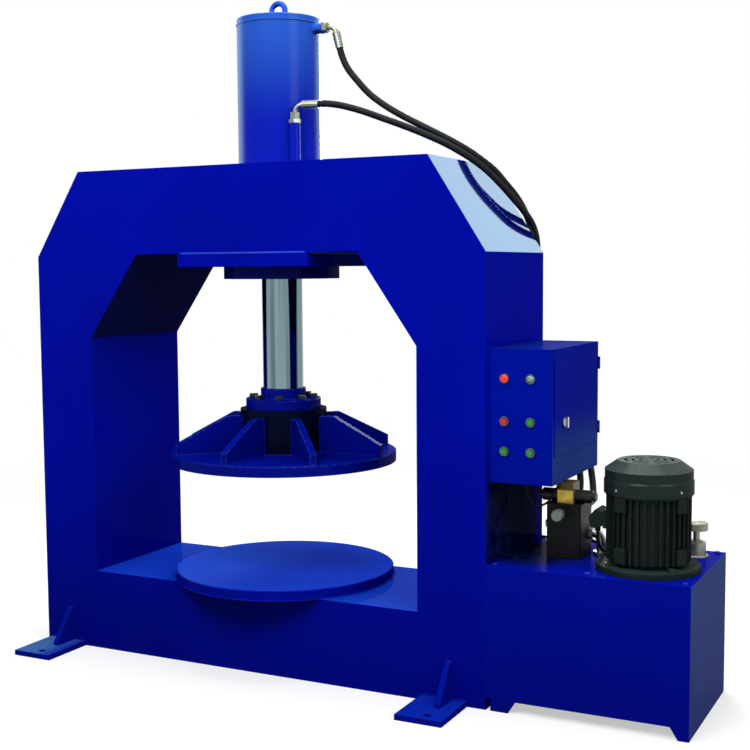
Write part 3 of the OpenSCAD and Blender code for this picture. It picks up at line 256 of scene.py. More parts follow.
def piece(name, mesh, material, body):
    """Puts a smooth mesh into the scene as a piece that moves with a body and has a material slot."""
    mesh.shade_smooth()
    mesh.materials.append(material)
    made = bpy.data.objects.new(name, mesh)
    bpy.context.scene.collection.objects.link(made)
    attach(made, body)
    return made


def spread(name, grids, material, body):
    """One piece from several grids P(i, j), where i counts rings, j runs round one; seams are merged."""
    points, faces, count = [], [], 0
    for grid in grids:
        rings, sides = grid.shape[:2]
        faces.append(quads(rings, sides) + count)
        points.append(grid.reshape(-1, 3))
        count += rings * sides
    mesh = bpy.data.meshes.new(name)
    mesh.from_pydata(np.concatenate(points).tolist(), [], np.concatenate(faces).tolist())
    work = bmesh.new()
    work.from_mesh(mesh)
    bmesh.ops.remove_doubles(work, verts=work.verts, dist=1e-6)
    work.to_mesh(mesh)
    work.free()
    piece(name, mesh, material, body)


def square_to(way, hint=(0.31, 0.53, 0.79)):
    """Two unit directions square to a way: its cross product with a hint, and with that product."""
    side = np.cross(way, hint)
    side /= np.linalg.norm(side, axis=-1, keepdims=True)
    return side, np.cross(way, side)


def hoops_along(line, sides, **hint):
    """Unit circles square to a line, one at each of its points: side * cos(a) + lift * sin(a)."""
    ahead = np.gradient(line, axis=0)
    ahead /= np.linalg.norm(ahead, axis=1, keepdims=True)
    side, lift = square_to(ahead, **hint)
    angle = np.linspace(0, 2 * np.pi, sides, endpoint=False)[None, :, None]
    return side[:, None] * np.cos(angle) + lift[:, None] * np.sin(angle)


def run_of(line):
    """Distance along a line at each of its points."""
    return np.concatenate([[0], np.cumsum(np.linalg.norm(np.diff(line, axis=0), axis=1))])


def bead(line, size, pitch=0.009, ripple=0.14, sides=8):
    """A rope of weld: circles of radius size * (1 + ripple * cos) carried along a line, its ends round."""
    line = np.asarray(line, float)
    run = run_of(line)
    s = np.linspace(0, run[-1], max(8, int(run[-1] / pitch * 3)))
    centre = np.stack([np.interp(s, run, line[:, k]) for k in range(3)], -1)
    ends = np.clip(np.minimum(s, run[-1] - s) / size, 0, 1)
    radius = size * np.sqrt(1 - (1 - ends) ** 2) * (1 + ripple * np.cos(2 * np.pi * s / pitch))
    return centre[:, None] + radius[:, None, None] * hoops_along(centre, sides)


def circle(radius, z, x=0.0, steps=180):
    """Points on a level circle: x + radius * cos(a), radius * sin(a), z."""
    angle = np.linspace(0, 2 * np.pi, steps)
    return np.stack([x + radius * np.cos(angle), radius * np.sin(angle), np.full(steps, z)], -1)


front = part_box("front_frame_plate")[0].y
feet_low, feet_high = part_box("foot_plates")
gussets_low, gussets_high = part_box("foot_gussets")
proud = 0.001
foot_half, foot_inset, foot_bead = 0.0875, 0.0025, 0.005
gusset_shift, gusset_half = 0.02, 0.01
gusset_gap, gusset_inset, gusset_bead = 0.0005, 0.004, 0.0042
gusset_reach = front - gussets_low.y - gusset_inset
foot_seam = feet_high.z + proud
frame_beads = []
for foot_x in (feet_low.x + foot_half, feet_high.x - foot_half):
    for out in (1, -1):
        face = front * out
        ends = [foot_x + end * (foot_half - foot_inset) for end in (-1, 1)]
        frame_beads.append(bead([(x, face - proud * out, foot_seam) for x in ends], foot_bead))
        for side in (-1, 1):
            x = foot_x + gusset_shift + side * (gusset_half + gusset_gap)
            level = [(x, face, foot_seam), (x, face - gusset_reach * out, foot_seam)]
            upright = [(x, face, gussets_low.z + gusset_inset), (x, face, gussets_high.z - gusset_inset)]
            frame_beads += [bead(level, gusset_bead), bead(upright, gusset_bead)]
bead_paint = paint("bead_paint", (0.0006, 0.005, 0.33), edge_colour=(0.002, 0.014, 0.4),
                   overlay=(0.002, 0.014, 0.4), shine=0.03, film=0.3)
spread("frame_welds", frame_beads, bead_paint, "frame")

mount_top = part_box("cylinder_mount_plate")[1]
mount_end, mount_inset = 0.0095, 0.01
mount_sunk, mount_bead = 0.0005, 0.0045
mount_half = mount_top.x - mount_end
mount_beads = []
for out in (-1, 1):
    ends = [(end * mount_half, front * out, mount_top.z) for end in (-1, 1)]
    mount_beads.append(bead(ends, mount_bead))
for side in (-1, 1):
    ends = [(side * mount_top.x, end * (front + mount_inset), mount_top.z - mount_sunk) for end in (1, -1)]
    mount_beads.append(bead(ends, mount_bead))
# Painted highlight: the mount plate's beads are a lighter blue, a bright line along its top edge.
highlit_bead = paint("highlit_bead", (0.012, 0.05, 0.5), edge_colour=(0.03, 0.09, 0.6),
                    overlay=(0.05, 0.12, 0.6), shine=0.12, film=0.8)
spread("mount_welds", mount_beads, highlit_bead, "frame")

# Feet and gussets. Flame-cut plates with an anchor hole, painted with the frame; the top of the left
# foot is paler, the rims of the foot plates are painted near black as shade, and the gussets' edges
# are painted lighter as highlight.
foot_blue, foot_top_colour = (0.001, 0.007, 0.36), (0.004, 0.028, 0.4)
# Painted shade: near-black edge colour on the foot plates' rims.
foot_paint = paint("foot_paint", foot_blue, edge_colour=(0.001, 0.003, 0.03), overlay=foot_top_colour, shine=0.01,
                   peel=0.09, round_off=0.009,
                   pale={"colour": (0.24, 0.66, 0.6), "axis": 0, "start": -0.76, "full": -0.9,
                         "side": "top"})
wear(foot_paint, "foot_plates")
# Painted highlight: lighter edge colour on the gussets.
gusset_paint = paint("gusset_paint", foot_blue, edge_colour=(0.015, 0.06, 0.5), overlay=foot_top_colour, shine=0.01,
                     peel=0.09)
wear(gusset_paint, "foot_gussets")

# Table. A turned round plate, welded down on the bed all round its foot; its painted top lies level
# under the platen, a brighter blue on top that is dust with painted light, and a painted reflection
# makes it paler at the left.
# Painted reflection: the top is paler at the left; its brighter top colour is partly painted light.
table_paint = paint("table_paint", (0.0006, 0.005, 0.33), edge_colour=(0.004, 0.03, 0.42),
                    overlay=(0.006, 0.05, 0.62), shine=0.01, film=0.7, tops=0.006,
                    pale={"colour": (0.05, 0.17, 0.8), "axis": 0, "start": 0.12, "full": -0.2,
                          "side": "top"})
wear(table_paint, "table_plate")
table_low, table_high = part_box("table_plate")
table_gap, table_bead = 0.0005, 0.004
table_foot = circle(table_high.x + table_gap, table_low.z + table_gap)
spread("table_weld", [bead(table_foot, table_bead)], bead_paint, "frame")

# Cylinder mount plate. A thick full-depth plate welded under the crown, drilled and tapped for the
# cylinder flange.
wear(frame_paint, "cylinder_mount_plate")

# Cylinder. A honed tube with a welded cap, a bolted flange, a port boss and a bent-bar lifting eye,
# sprayed a slightly brighter blue than the frame. It stands in a weld where it leaves the crown.
# Painted reflection: the upper barrel is paler, a sky on it; its walls mirror a painted pale blue sky.
cylinder_paint = paint("cylinder_paint", (0.0008, 0.009, 0.34), edge_colour=(0.006, 0.04, 0.48),
                       overlay=(0.01, 0.07, 0.48), shine=0.5, blur=0.15, clear=1.2, walls=0.3,
                       pale={"colour": (0.02, 0.1, 0.5), "axis": 2, "start": 2.05, "full": 2.5})
wear(cylinder_paint, "cylinder_barrel", "cylinder_cap", "lifting_eye", "rod_side_pipe")
# Painted shade: the flange is a darker copy of the cylinder blue, as under the crown.
shaded_flange_paint = paint("shaded_flange_paint", (0.0008, 0.006, 0.22), edge_colour=(0.004, 0.02, 0.36),
                     overlay=(0.004, 0.02, 0.36), shine=0.04)
wear(shaded_flange_paint, "cylinder_flange")
cap_low, cap_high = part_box("cylinder_cap")
crown_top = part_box("front_frame_plate")[1].z
barrel_radius = cap_high.x
boss_radius, boss_height = 0.021, 2.44
eye_radius, eye_half = 0.0112, 0.029
cap_gap, crown_gap = 0.0002, 0.0005
cap_bead, crown_bead = 0.0028, 0.004
boss_bead, boss_pitch = 0.004, 0.007
eye_bead, eye_pitch = 0.0032, 0.006
boss_angle = np.linspace(0, 2 * np.pi, 60)
boss_y = boss_radius * np.cos(boss_angle)
boss_z = boss_height + boss_radius * np.sin(boss_angle)
boss_seat = np.stack([np.sqrt(barrel_radius ** 2 - boss_y ** 2), boss_y, boss_z], -1)
cap_seam = circle(barrel_radius + cap_gap, cap_low.z)
crown_seam = circle(barrel_radius + crown_gap, crown_top + crown_gap)
cylinder_beads = [bead(cap_seam, cap_bead), bead(crown_seam, crown_bead),
                  bead(boss_seat, boss_bead, boss_pitch)]
for side in (-1, 1):
    eye_foot = circle(eye_radius, cap_high.z + cap_gap, side * eye_half, steps=40)
    cylinder_beads.append(bead(eye_foot, eye_bead, eye_pitch))
spread("cylinder_welds", cylinder_beads, cylinder_paint, "frame")


# Flange and clamp bolts. Socket and hexagon screws of blacked steel that hold the cylinder to its
# mount plate and the clamp ring to the platen, oiled, and a little brown where the oil has dried.
def blacked(name, colour, rust, gloss):
    """Blacked steel: dark metal with a cloudy oil film, fine grain and brownish specks."""
    made, shader, at = new_finish(name, Specular_IOR_Level=0.4)
    place = at.node("ShaderNodeTexCoord", output="Object")
    cloud = noise(place, 30.0, 4.0)
    fleck = noise(place, 260.0, 3.0)
    grain = noise(place, 900.0, 2.0)
    stain = fleck.step(0.56, 0.72) * cloud.step(0.4, 0.7)
    feed(shader, Base_Color=stain.mix(colour, rust),
         Roughness=cloud * 0.22 + stain * 0.2 + gloss,
         Metallic=0.75 - stain * 0.6,
         Normal=bump(grain, 0.12, 0.0004, Normal=softened(at, 0.0012)))
    return made


black_steel = blacked("black_steel", (0.02, 0.022, 0.025), rust=(0.05, 0.035, 0.022), gloss=0.3)
wear(black_steel, "flange_bolts", "clamp_bolts")


# Gland, piston, pump, rotor and hinge pins. Steel turned on the lathe, with fine tool marks and a
# cloud of oil; most of them are seen only when the press is taken apart.
def machined(name, colour, gloss, lines):
    """Turned metal: fine rings along Z, and a tone and a roughness that follow clouds of oil."""
    made, shader, at = new_finish(name, Metallic=1.0)
    place = at.node("ShaderNodeTexCoord", output="Object")
    stretched = at.node("ShaderNodeMapping", None, {"Vector": place, "Scale": (6.0, 6.0, lines)})
    marks = noise(stretched, 1.0, 3.0)
    cloud = noise(place, 9.0, 4.0)
    feed(shader, Base_Color=cloud.step(0.3, 0.7).mix(toned(colour, 0.82), colour),
         Roughness=marks * 0.14 + cloud * 0.1 + gloss,
         Normal=bump(marks, 0.1, 0.0002, Normal=softened(at, 0.0012)))
    return made


steel = machined("turned_steel", (0.5, 0.51, 0.52), gloss=0.16, lines=900.0)
wear(steel, "gland_bush", "piston", "gear_pump", "motor_rotor", "hinge_pins")


# Hose fittings. Zinc-plated swivel nuts and bent tails, passivated pale gold; the ferrules that hold
# the hoses are pressed on, and the press leaves a row of rings.
def plated(name, bright, tinted, gloss):
    """Zinc plate: metal between two tints in soft clouds, with dull white bloom and fine grain."""
    made, shader, at = new_finish(name, Metallic=1.0)
    place = at.node("ShaderNodeTexCoord", output="Object")
    cloud = noise(place, 38.0, 3.0, 0.6)
    bloom = noise(place, 210.0, 4.0)
    feed(shader, Base_Color=cloud.step(0.35, 0.65).mix(bright, tinted),
         Roughness=bloom.step(0.4, 0.75) * 0.18 + gloss,
         Normal=bump(bloom, 0.1, 0.0003, Normal=softened(at, 0.0012)))
    return made


zinc = plated("zinc_plate", (0.23, 0.26, 0.26), tinted=(0.22, 0.23, 0.13), gloss=0.26)
wear(zinc, "upper_hose_fitting", "lower_hose_fitting", "manifold_fittings", "relief_valve")


def hoop(centre, axis, radius, tube, steps=40, sides=8):
    """A ring: circles of radius tube carried round a circle of the given radius about an axis."""
    side, lift = square_to(axis)
    a = np.linspace(0, 2 * np.pi, steps)[:, None, None]
    b = np.linspace(0, 2 * np.pi, sides, endpoint=False)[None, :, None]
    out = side * np.cos(a) + lift * np.sin(a)
    return centre + (radius + tube * np.cos(b)) * out - tube * np.sin(b) * axis


tilt_cos, tilt_sin = math.cos(math.radians(15)), math.sin(math.radians(15))
ferrules = [((0.25205, 0, 2.41925), (tilt_sin, 0, -tilt_cos)),
            ((0.1671, -0.1166, 2.143), (tilt_cos, tilt_sin, 0)),
            ((1.145, 0.0855, 0.67), (0, 1, 0)),
            ((1.205, 0.0855, 0.67), (0, 1, 0))]
crimp_radius, crimp_tube = 0.0149, 0.0016
crimp_count, first_crimp, crimp_pitch = 6, 0.006, 0.009
crimps = []
for start, way in ferrules:
    way = np.array(way, float)
    for k in range(crimp_count):
        crimps.append(hoop(start + (first_crimp + k * crimp_pitch) * way, way, crimp_radius, crimp_tube))
spread("crimp_rings", crimps, zinc, "frame")


# Hydraulic hoses. Two wire-braid hoses with a wrapped black cover run from the cylinder ports over
# the right sloped corner and down behind the column to the manifold; both ends sit in ferrules.
def smooth_route(points, steps=10):
    """A curve in metres through points in millimetres: cubics that keep their neighbours' mean slope."""
    p = np.asarray(points, float) / 1000
    p = np.concatenate([[2 * p[0] - p[1]], p, [2 * p[-1] - p[-2]]])
    a, b, c, d = (p[k:len(p) - 3 + k, None] for k in range(4))
    t = np.linspace(0, 1, steps, endpoint=False)[None, :, None]
    bend = (2 * a - 5 * b + 4 * c - d) * t ** 2 + (3 * b - a - 3 * c + d) * t ** 3
    curve = 0.5 * (2 * b + (c - a) * t + bend)
    return np.concatenate([curve.reshape(-1, 3), p[-2][None]])


def line_of(name, route, diameter, material, sides=20):
    """A round cord: circles carried along its route, closed by flat ends.

    Its UV map has u round the cord and v along it in metres.
    """
    centre = smooth_route(route)
    rings = len(centre)
    points = centre[:, None] + diameter / 2 * hoops_along(centre, sides, hint=(1.0, -1.0, 0.15))
    run = run_of(centre)
    start = list(range(sides))[::-1]
    end = list(range((rings - 1) * sides, rings * sides))
    mesh = bpy.data.meshes.new(name)
    mesh.from_pydata(points.reshape(-1, 3).tolist(), [], quads(rings, sides).tolist() + [start, end])
    i, j = np.divmod(np.arange((rings - 1) * sides), sides)
    u = np.stack([j, j + 1, j + 1, j], -1).reshape(-1) / sides
    v = run[np.stack([i, i, i + 1, i + 1], -1)].reshape(-1)
    flat = np.zeros(len(mesh.loops) * 2)
    flat[:2 * len(u)] = np.stack([u, v], -1).reshape(-1)
    mesh.uv_layers.new(name="along").data.foreach_set("uv", flat)
    made = piece(name, mesh, material, "frame")
    return made


def rubber_cover(name, colour, overlay, wraps, slant, strength):
    """Wrapped rubber: two slanting prints of a cloth wrap, sine waves of u and v, scuffs and grey dust."""
    made, shader, at = new_finish(name, Specular_IOR_Level=0.12)
    place = at.node("ShaderNodeTexCoord", output="Object")
    sheet = at.node("ShaderNodeUVMap", {"uv_map": "along"})
    u = along(sheet, 0)
    v = along(sheet, 1)
    weave = at.math("SINE", (v * wraps + u * slant) * (2 * math.pi)) * 0.5 + 0.5
    cross = at.math("SINE", (v * wraps * 0.5 - u * slant * 3) * (2 * math.pi)) * 0.5 + 0.5
    scuff = noise(place, 45.0, 5.0)
    pattern = weave * 0.7 + cross * 0.3
    overlaid = scuff.step(0.45, 0.75) * (1 - pattern * 0.6)
    feed(shader, Base_Color=overlaid.mix(colour, overlay),
         Roughness=scuff * 0.25 + 0.38,
         Normal=bump(pattern, strength, 0.0008))
    return made


hose_rubber = rubber_cover("hose_rubber", (0.003, 0.0035, 0.004), overlay=(0.012, 0.013, 0.015),
                           wraps=130.0, slant=2.0, strength=0.35)
hose_diameter = 0.025
cap_route = [[264, 0, 2375], [275, 0, 2334], [298, 2, 2284], [337, 8, 2234], [386, 14, 2182],
             [450, 22, 2134], [522, 32, 2091], [607, 45, 2046], [691, 63, 2001], [758, 86, 1959],
             [798, 112, 1926], [833, 146, 1891], [864, 188, 1842], [889, 234, 1794], [902, 284, 1745],
             [908, 330, 1688], [904, 365, 1628], [896, 390, 1559], [892, 404, 1450], [897, 408, 1340],
             [914, 404, 1240], [955, 398, 1145], [1007, 391, 1055], [1060, 381, 970], [1107, 366, 887],
             [1144, 338, 807], [1170, 298, 739], [1190, 248, 694], [1205, 195, 673], [1205, 135, 670]]
rod_route = [[215, -104, 2143], [264, -91, 2143], [320, -72, 2133], [392, -56, 2111], [465, -40, 2083],
             [540, -24, 2054], [617, -5, 2021], [693, 17, 1984], [756, 43, 1945], [797, 72, 1913],
             [830, 104, 1879], [864, 142, 1834], [893, 184, 1788], [920, 231, 1739], [935, 284, 1690],
             [936, 330, 1630], [926, 356, 1558], [906, 367, 1462], [888, 370, 1400], [889, 369, 1300],
             [905, 366, 1200], [945, 359, 1110], [995, 350, 1022], [1045, 338, 938], [1090, 319, 856],
             [1122, 290, 775], [1140, 247, 710], [1145, 192, 676], [1145, 135, 670]]
cap_hose = line_of("cap_side_line", cap_route, hose_diameter, hose_rubber)
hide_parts("cap_side_hose")
rod_hose = line_of("rod_side_line", rod_route, hose_diameter, hose_rubber)
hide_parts("rod_side_hose")

# Piston rod. Ground and hard-chromed bar with an oil film; darker upright streaks painted into its
# colour are a painted reflection of the shop in upright bands.
rod_chrome, rod_shader, at = new_finish("rod_chrome", Metallic=1.0)
place = at.node("ShaderNodeTexCoord", output="Object")
ground = at.node("ShaderNodeMapping", None, {"Vector": place, "Scale": (3.0, 3.0, 1400.0)})
# Painted reflection: darker upright bands in the chrome's colour, along with oil streaks.
band_space = at.node("ShaderNodeMapping", None, {"Vector": place, "Scale": (60.0, 60.0, 0.8)})
grind = noise(ground, 1.0, 2.0)
dark_streaks = noise(band_space, 1.0, 4.0)
feed(rod_shader, Base_Color=dark_streaks.step(0.35, 0.65).mix((0.22, 0.32, 0.35), (0.1, 0.17, 0.19)),
     Roughness=dark_streaks * 0.1 + grind * 0.06 + 0.02,
     Normal=bump(grind, 0.05, 0.0001))
wear(rod_chrome, "piston_rod")

# Platen. A thick round plate with a turned hub, eight tapered ribs and a bolted clamp ring, welded
# all round and painted; its edges are painted pale as highlight, and the hub is painted near black
# as shade under the clamp ring.
# Painted highlight: pale edge colour on the ribs and rim.
platen_paint = paint("platen_paint", (0.0005, 0.004, 0.22), edge_colour=(0.05, 0.13, 0.65),
                     overlay=(0.001, 0.006, 0.24), shine=0.05, blur=0.2, round_off=0.007)
wear(platen_paint, "platen_disc", "platen_ribs", "clamp_ring")
# Painted shade: the hub is near black, as under the clamp ring.
shaded_hub_paint = paint("shaded_hub_paint", (0.0012, 0.003, 0.018), edge_colour=(0.001, 0.006, 0.1),
                  overlay=(0.001, 0.004, 0.06), shine=0.04, blur=0.2)
wear(shaded_hub_paint, "platen_hub")
hub_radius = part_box("platen_hub")[1].x
rib_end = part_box("platen_ribs")[1].x
rib_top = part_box("platen_ribs")[1].z
disc_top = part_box("platen_disc")[1].z
rib_count, rib_side, rib_end_half = 8, 0.0128, 0.012
hub_gap, hub_sunk, rib_clear = 0.0002, 0.0002, 0.002
rib_inset, end_gap, top_inset = 0.004, 0.0005, 0.003
hub_bead, rib_bead, thin_bead = 0.005, 0.0048, 0.0045
seam = np.array([0, 0, disc_top + end_gap])
platen_beads = [bead(circle(hub_radius + hub_gap, seam[2]), hub_bead)]
for k in range(rib_count):
    angle = 2 * math.pi * k / rib_count
    way = np.array([math.cos(angle), math.sin(angle), 0])
    beside = np.array([-way[1], way[0], 0])
    for side in (-1, 1):
        root = beside * side * rib_side
        level = [way * (hub_radius + rib_clear) + root + seam, way * (rib_end - rib_inset) + root + seam]
        corner = way * (hub_radius - hub_sunk) + root
        upright = [corner + (0, 0, disc_top + rib_inset), corner + (0, 0, rib_top - top_inset)]
        platen_beads += [bead(level, rib_bead), bead(upright, thin_bead)]
    tip = way * (rib_end + end_gap) + seam
    platen_beads.append(bead([tip - beside * rib_end_half, tip + beside * rib_end_half], thin_bead))
spread("platen_welds", platen_beads, platen_paint, "ram")

# Control box. Folded sheet cabinet on the column with a hinged door on its right side, sprayed blue;
# the lower part of its right faces is painted paler as light, and its top is painted darker as shade.
# Painted light on the lower right faces; painted shade in the darker top colour.
box_paint = paint("box_paint", (0.0006, 0.006, 0.3), edge_colour=(0.004, 0.03, 0.42), overlay=(0.003, 0.01, 0.16),
                  shine=0.04, film=0.9, blur=0.15, clear=1.2,
                  pale={"colour": (0.02, 0.055, 0.25), "axis": 2, "start": 1.06, "full": 0.86,
                        "side": "right"})
wear(box_paint, "control_box", "control_door")


# Bezels and door lock. Turned brass rings screwed into the box's front and a lock with a handle in
# its door, all nickel-chrome plated; the bezels are given a darker plate colour than the lock, a
# painted dark reflection.
def bright_plate(name, colour, gloss):
    """Bright plate: mirror metal with faint clouds and finger marks."""
    made, shader, at = new_finish(name, Metallic=1.0)
    place = at.node("ShaderNodeTexCoord", output="Object")
    smear = noise(place, 55.0, 4.0, 0.8)
    feed(shader, Base_Color=smear.step(0.3, 0.75).mix(colour, toned(colour, 0.86)),
         Roughness=smear * 0.16 + gloss,
         Normal=bump(smear, 0.03, 0.0002, Normal=softened(at, 0.001)))
    return made


wear(bright_plate("bezel_chrome", (0.62, 0.63, 0.64), gloss=0.16), "door_lock")
# Painted reflection: the bezels' plate is darker than the lock's.
wear(bright_plate("bezel_dark", (0.1, 0.12, 0.13), gloss=0.25), "operator_bezels")


# Lamps and push buttons. Moulded coloured caps held by the bezels: two ribbed lenses above, the red
# one lit, and four flat buttons below.
def middle(name):
    """Middle of a node's box."""
    low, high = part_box(name)
    return (low + high) / 2


def moulded(name, colour, glow=0.0, cloud_tone=0.85, gloss=0.25, ribs=0.0, domed_highlight=()):
    """Moulded plastic: even colour with a flow cloud and fine grain, glowing where lit.

    Ribs are a sine wave along x. Each listed node's cap is painted paler round its middle, a
    painted highlight on its dome.
    """
    made, shader, at = new_finish(name, Emission_Strength=glow)
    place = at.node("ShaderNodeTexCoord", output="Object")
    flow = noise(place, 60.0, 3.0)
    grain = noise(place, 1500.0, 2.0)
    tone = flow.step(0.3, 0.7).mix(toned(colour, cloud_tone), colour)
    # Painted highlight: each listed cap is paler round its middle.
    for cap in domed_highlight:
        centre = middle(cap)
        seen = at.node("ShaderNodeVectorMath", {"operation": "MULTIPLY"}, {0: place, 1: (1, 0, 1)})
        rim = distance(seen, (centre.x, 0, centre.z)).step(0.004, 0.009)
        tone = ((1 - rim) * 0.6).mix(tone, toned(colour, 2.2))
    flutes = at.math("SINE", along(place, 0) * 2400) * ribs
    feed(shader, Base_Color=tone, Roughness=flow * 0.15 + gloss, Emission_Color=tone,
         Normal=bump(grain + flutes, 0.06 + ribs, 0.0004))
    return made


red_lens = moulded("red_lens", (0.8, 0.012, 0.008), glow=0.9, cloud_tone=0.9, gloss=0.12, ribs=0.5)
wear(red_lens, "red_lamp")
# Painted light: the unlit green lens glows faintly.
green_lens = moulded("green_lens", (0.18, 0.3, 0.24), glow=0.05, cloud_tone=0.9, gloss=0.12, ribs=0.5)
wear(green_lens, "green_lamp")
wear(moulded("red_cap", (0.36, 0.005, 0.008), gloss=0.15, domed_highlight=["stop_button"]), "stop_button")
green_buttons = ["start_button", "raise_button", "lower_button"]
wear(moulded("green_cap", (0.01, 0.16, 0.018), gloss=0.15, domed_highlight=green_buttons), *green_buttons)

# Switchgear and cable glands. Dark moulded housings on a plate inside the box, and black nylon glands
# screwed into its floor.
wear(moulded("gear_plastic", (0.03, 0.031, 0.034), cloud_tone=0.7, gloss=0.4), "control_gear")
wear(moulded("gland_nylon", (0.012, 0.012, 0.013), cloud_tone=0.7, gloss=0.4), "cable_glands")

# Oil tank and lid. Welded sheet tank on its own folded legs, butted to the column and painted blue;
# its right faces are painted paler as reflection, and the lid and what lies round the valve block
# carry a painted shadow, near black and veined like oil.
# Painted reflection on the right faces; painted shadow, veined like oil, by the valve block.
tank_paint = paint("tank_paint", (0.0006, 0.005, 0.33), edge_colour=(0.004, 0.02, 0.4), overlay=(0.001, 0.006, 0.26),
                   shine=0.1, blur=0.2, clear=1.2, valve_shadow=0.95,
                   pale={"colour": (0.025, 0.07, 0.21), "axis": 2, "start": -1.0, "full": 0.0,
                         "side": "right"})
wear(tank_paint, "oil_tank", "tank_lid")

# Motor. Cast finned housing, flange, terminal box and pressed fan cover in dark grey-green enamel;
# four round-headed screws hold the cover.
motor_paint = paint("motor_paint", (0.011, 0.02, 0.018), edge_colour=(0.04, 0.055, 0.05),
                    overlay=(0.03, 0.042, 0.038), film=0.6, peel=0.2, blur=0.3)
wear(motor_paint, "motor_housing", "motor_flange", "terminal_box")
# Painted highlight and reflection: lighter edge and top colours on the fan cover, with dust.
cover_paint = paint("cover_paint", (0.011, 0.022, 0.02), edge_colour=(0.08, 0.11, 0.1),
                    overlay=(0.08, 0.1, 0.095), shine=0.15, film=0.7, peel=0.1, blur=0.25)
wear(cover_paint, "fan_cover")


def dome(centre, axis, radius, height, skirt=-0.4, sides=16):
    """A round screw head: an ellipse turned about its axis, from a skirt sunk in the seat to the top."""
    side, lift = square_to(axis)
    t = np.concatenate([[skirt], np.linspace(skirt, np.pi / 2, 7)])
    out = np.concatenate([[0], radius * np.cos(t[1:])])[:, None, None]
    a = np.linspace(0, 2 * np.pi, sides, endpoint=False)[None, :, None]
    return centre + out * (side * np.cos(a) + lift * np.sin(a)) + height * np.sin(t)[:, None, None] * axis


motor_axis = middle("motor_flange")
cover_low, cover_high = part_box("fan_cover")
cover_radius = (cover_high.x - cover_low.x) / 2
screw_count, first_screw, screw_lift = 4, -121, 0.018
screw_radius, screw_height = 0.0055, 0.0032
cover_screws = []
for k in range(screw_count):
    angle = math.radians(first_screw + 360 / screw_count * k)
    way = np.array([math.cos(angle), math.sin(angle), 0])
    seat = np.array([motor_axis.x, motor_axis.y, cover_low.z + screw_lift]) + cover_radius * way
    cover_screws.append(dome(seat, way, screw_radius, screw_height))
spread("cover_screws", cover_screws, zinc, "frame")

# Bolts on the lid. Hexagon screws, painted over where they sit: those round the lid with the tank,
# those of the motor's flange with the motor.
bolt_paint, bolt_shader, at = new_finish("bolt_paint", Specular_IOR_Level=0.25)
flange_low, flange_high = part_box("motor_flange")
flange_radius, flange_gap = (flange_high.x - flange_low.x) / 2, 0.003
place = at.node("ShaderNodeTexCoord", output="Object")
plan = at.node("ShaderNodeVectorMath", {"operation": "MULTIPLY"}, {0: place, 1: (1, 1, 0)})
off_flange = distance(plan, (motor_axis.x, motor_axis.y, 0)).step(flange_radius - flange_gap,
                                                                  flange_radius + flange_gap)
speck = noise(place, 260.0, 3.0)
grey_green = speck.step(0.3, 0.7).mix((0.012, 0.02, 0.018), (0.02, 0.03, 0.028))
blue = speck.step(0.3, 0.7).mix((0.001, 0.008, 0.34), (0.004, 0.03, 0.46))
feed(bolt_shader, Base_Color=off_flange.mix(grey_green, blue),
     Roughness=speck * 0.15 + 0.25,
     Normal=bump(speck, 0.1, 0.0003, Normal=softened(at, 0.0015)))
wear(bolt_paint, "lid_bolts")

# Oil filler. A zinc neck and a mushroom breather cap, both dulled to an olive grey by oil mist; the
# cap's rim is knurled for the fingers.
filler_finish, filler_shader, at = new_finish("filler_finish", Specular_IOR_Level=0.3)
filler_axis = middle("filler_cap")
rim_low, rim_full, knurls = 0.603, 0.606, 60
place = at.node("ShaderNodeTexCoord", output="Object")
turned = at.math("ARCTAN2", along(place, 1) - filler_axis.y, along(place, 0) - filler_axis.x)
cloud = noise(place, 50.0, 4.0)
knurl = at.math("SINE", turned * knurls) * along(place, 2).step(rim_low, rim_full)
feed(filler_shader, Base_Color=cloud.step(0.3, 0.7).mix((0.2, 0.21, 0.15), (0.32, 0.33, 0.27)),
     Roughness=cloud * 0.25 + 0.3,
     Metallic=0.9 - cloud * 0.4,
     Normal=bump(knurl, 0.5, 0.0012))
wear(filler_finish, "filler_neck", "filler_cap")

# Valves. A blacked manifold block bolted to the lid carries a solenoid valve with a gold passivated
# body, a moulded wiring box and two black coils; beside it are a grey pressure knob and a steel pipe.
block_black = blacked("block_black", (0.006, 0.008, 0.009), rust=(0.02, 0.016, 0.01), gloss=0.4)
wear(block_black, "manifold_block")
valve_finish, valve_shader, at = new_finish("valve_finish", Specular_IOR_Level=0.3)
body_half, body_edge = 0.029, 0.0004
wiring_base, wiring_edge = 0.746, 0.0005
place = at.node("ShaderNodeTexCoord", output="Object")
from_middle = at.math("ABSOLUTE", along(place, 0) - middle("directional_valve").x)
coil = from_middle.step(body_half - body_edge, body_half + body_edge)
wiring = along(place, 2).step(wiring_base - wiring_edge, wiring_base + wiring_edge)
cloud = noise(place, 40.0, 4.0)
gold = cloud.step(0.3, 0.7).mix((0.6, 0.43, 0.07), (0.44, 0.33, 0.08))
feed(valve_shader, Base_Color=coil.mix(wiring.mix(gold, (0.16, 0.11, 0.012)), (0.012, 0.012, 0.013)),
     Metallic=(1 - coil) * (1 - wiring) * 0.8,
     Roughness=cloud * 0.2 + 0.28,
     Normal=bump(cloud, 0.1, 0.0003))
wear(valve_finish, "directional_valve")
wear(moulded("knob_grey", (0.22, 0.26, 0.25), cloud_tone=0.8, gloss=0.3), "relief_knob")
wear(plated("pipe_steel", (0.3, 0.31, 0.3), tinted=(0.24, 0.24, 0.22), gloss=0.3), "pressure_pipe")

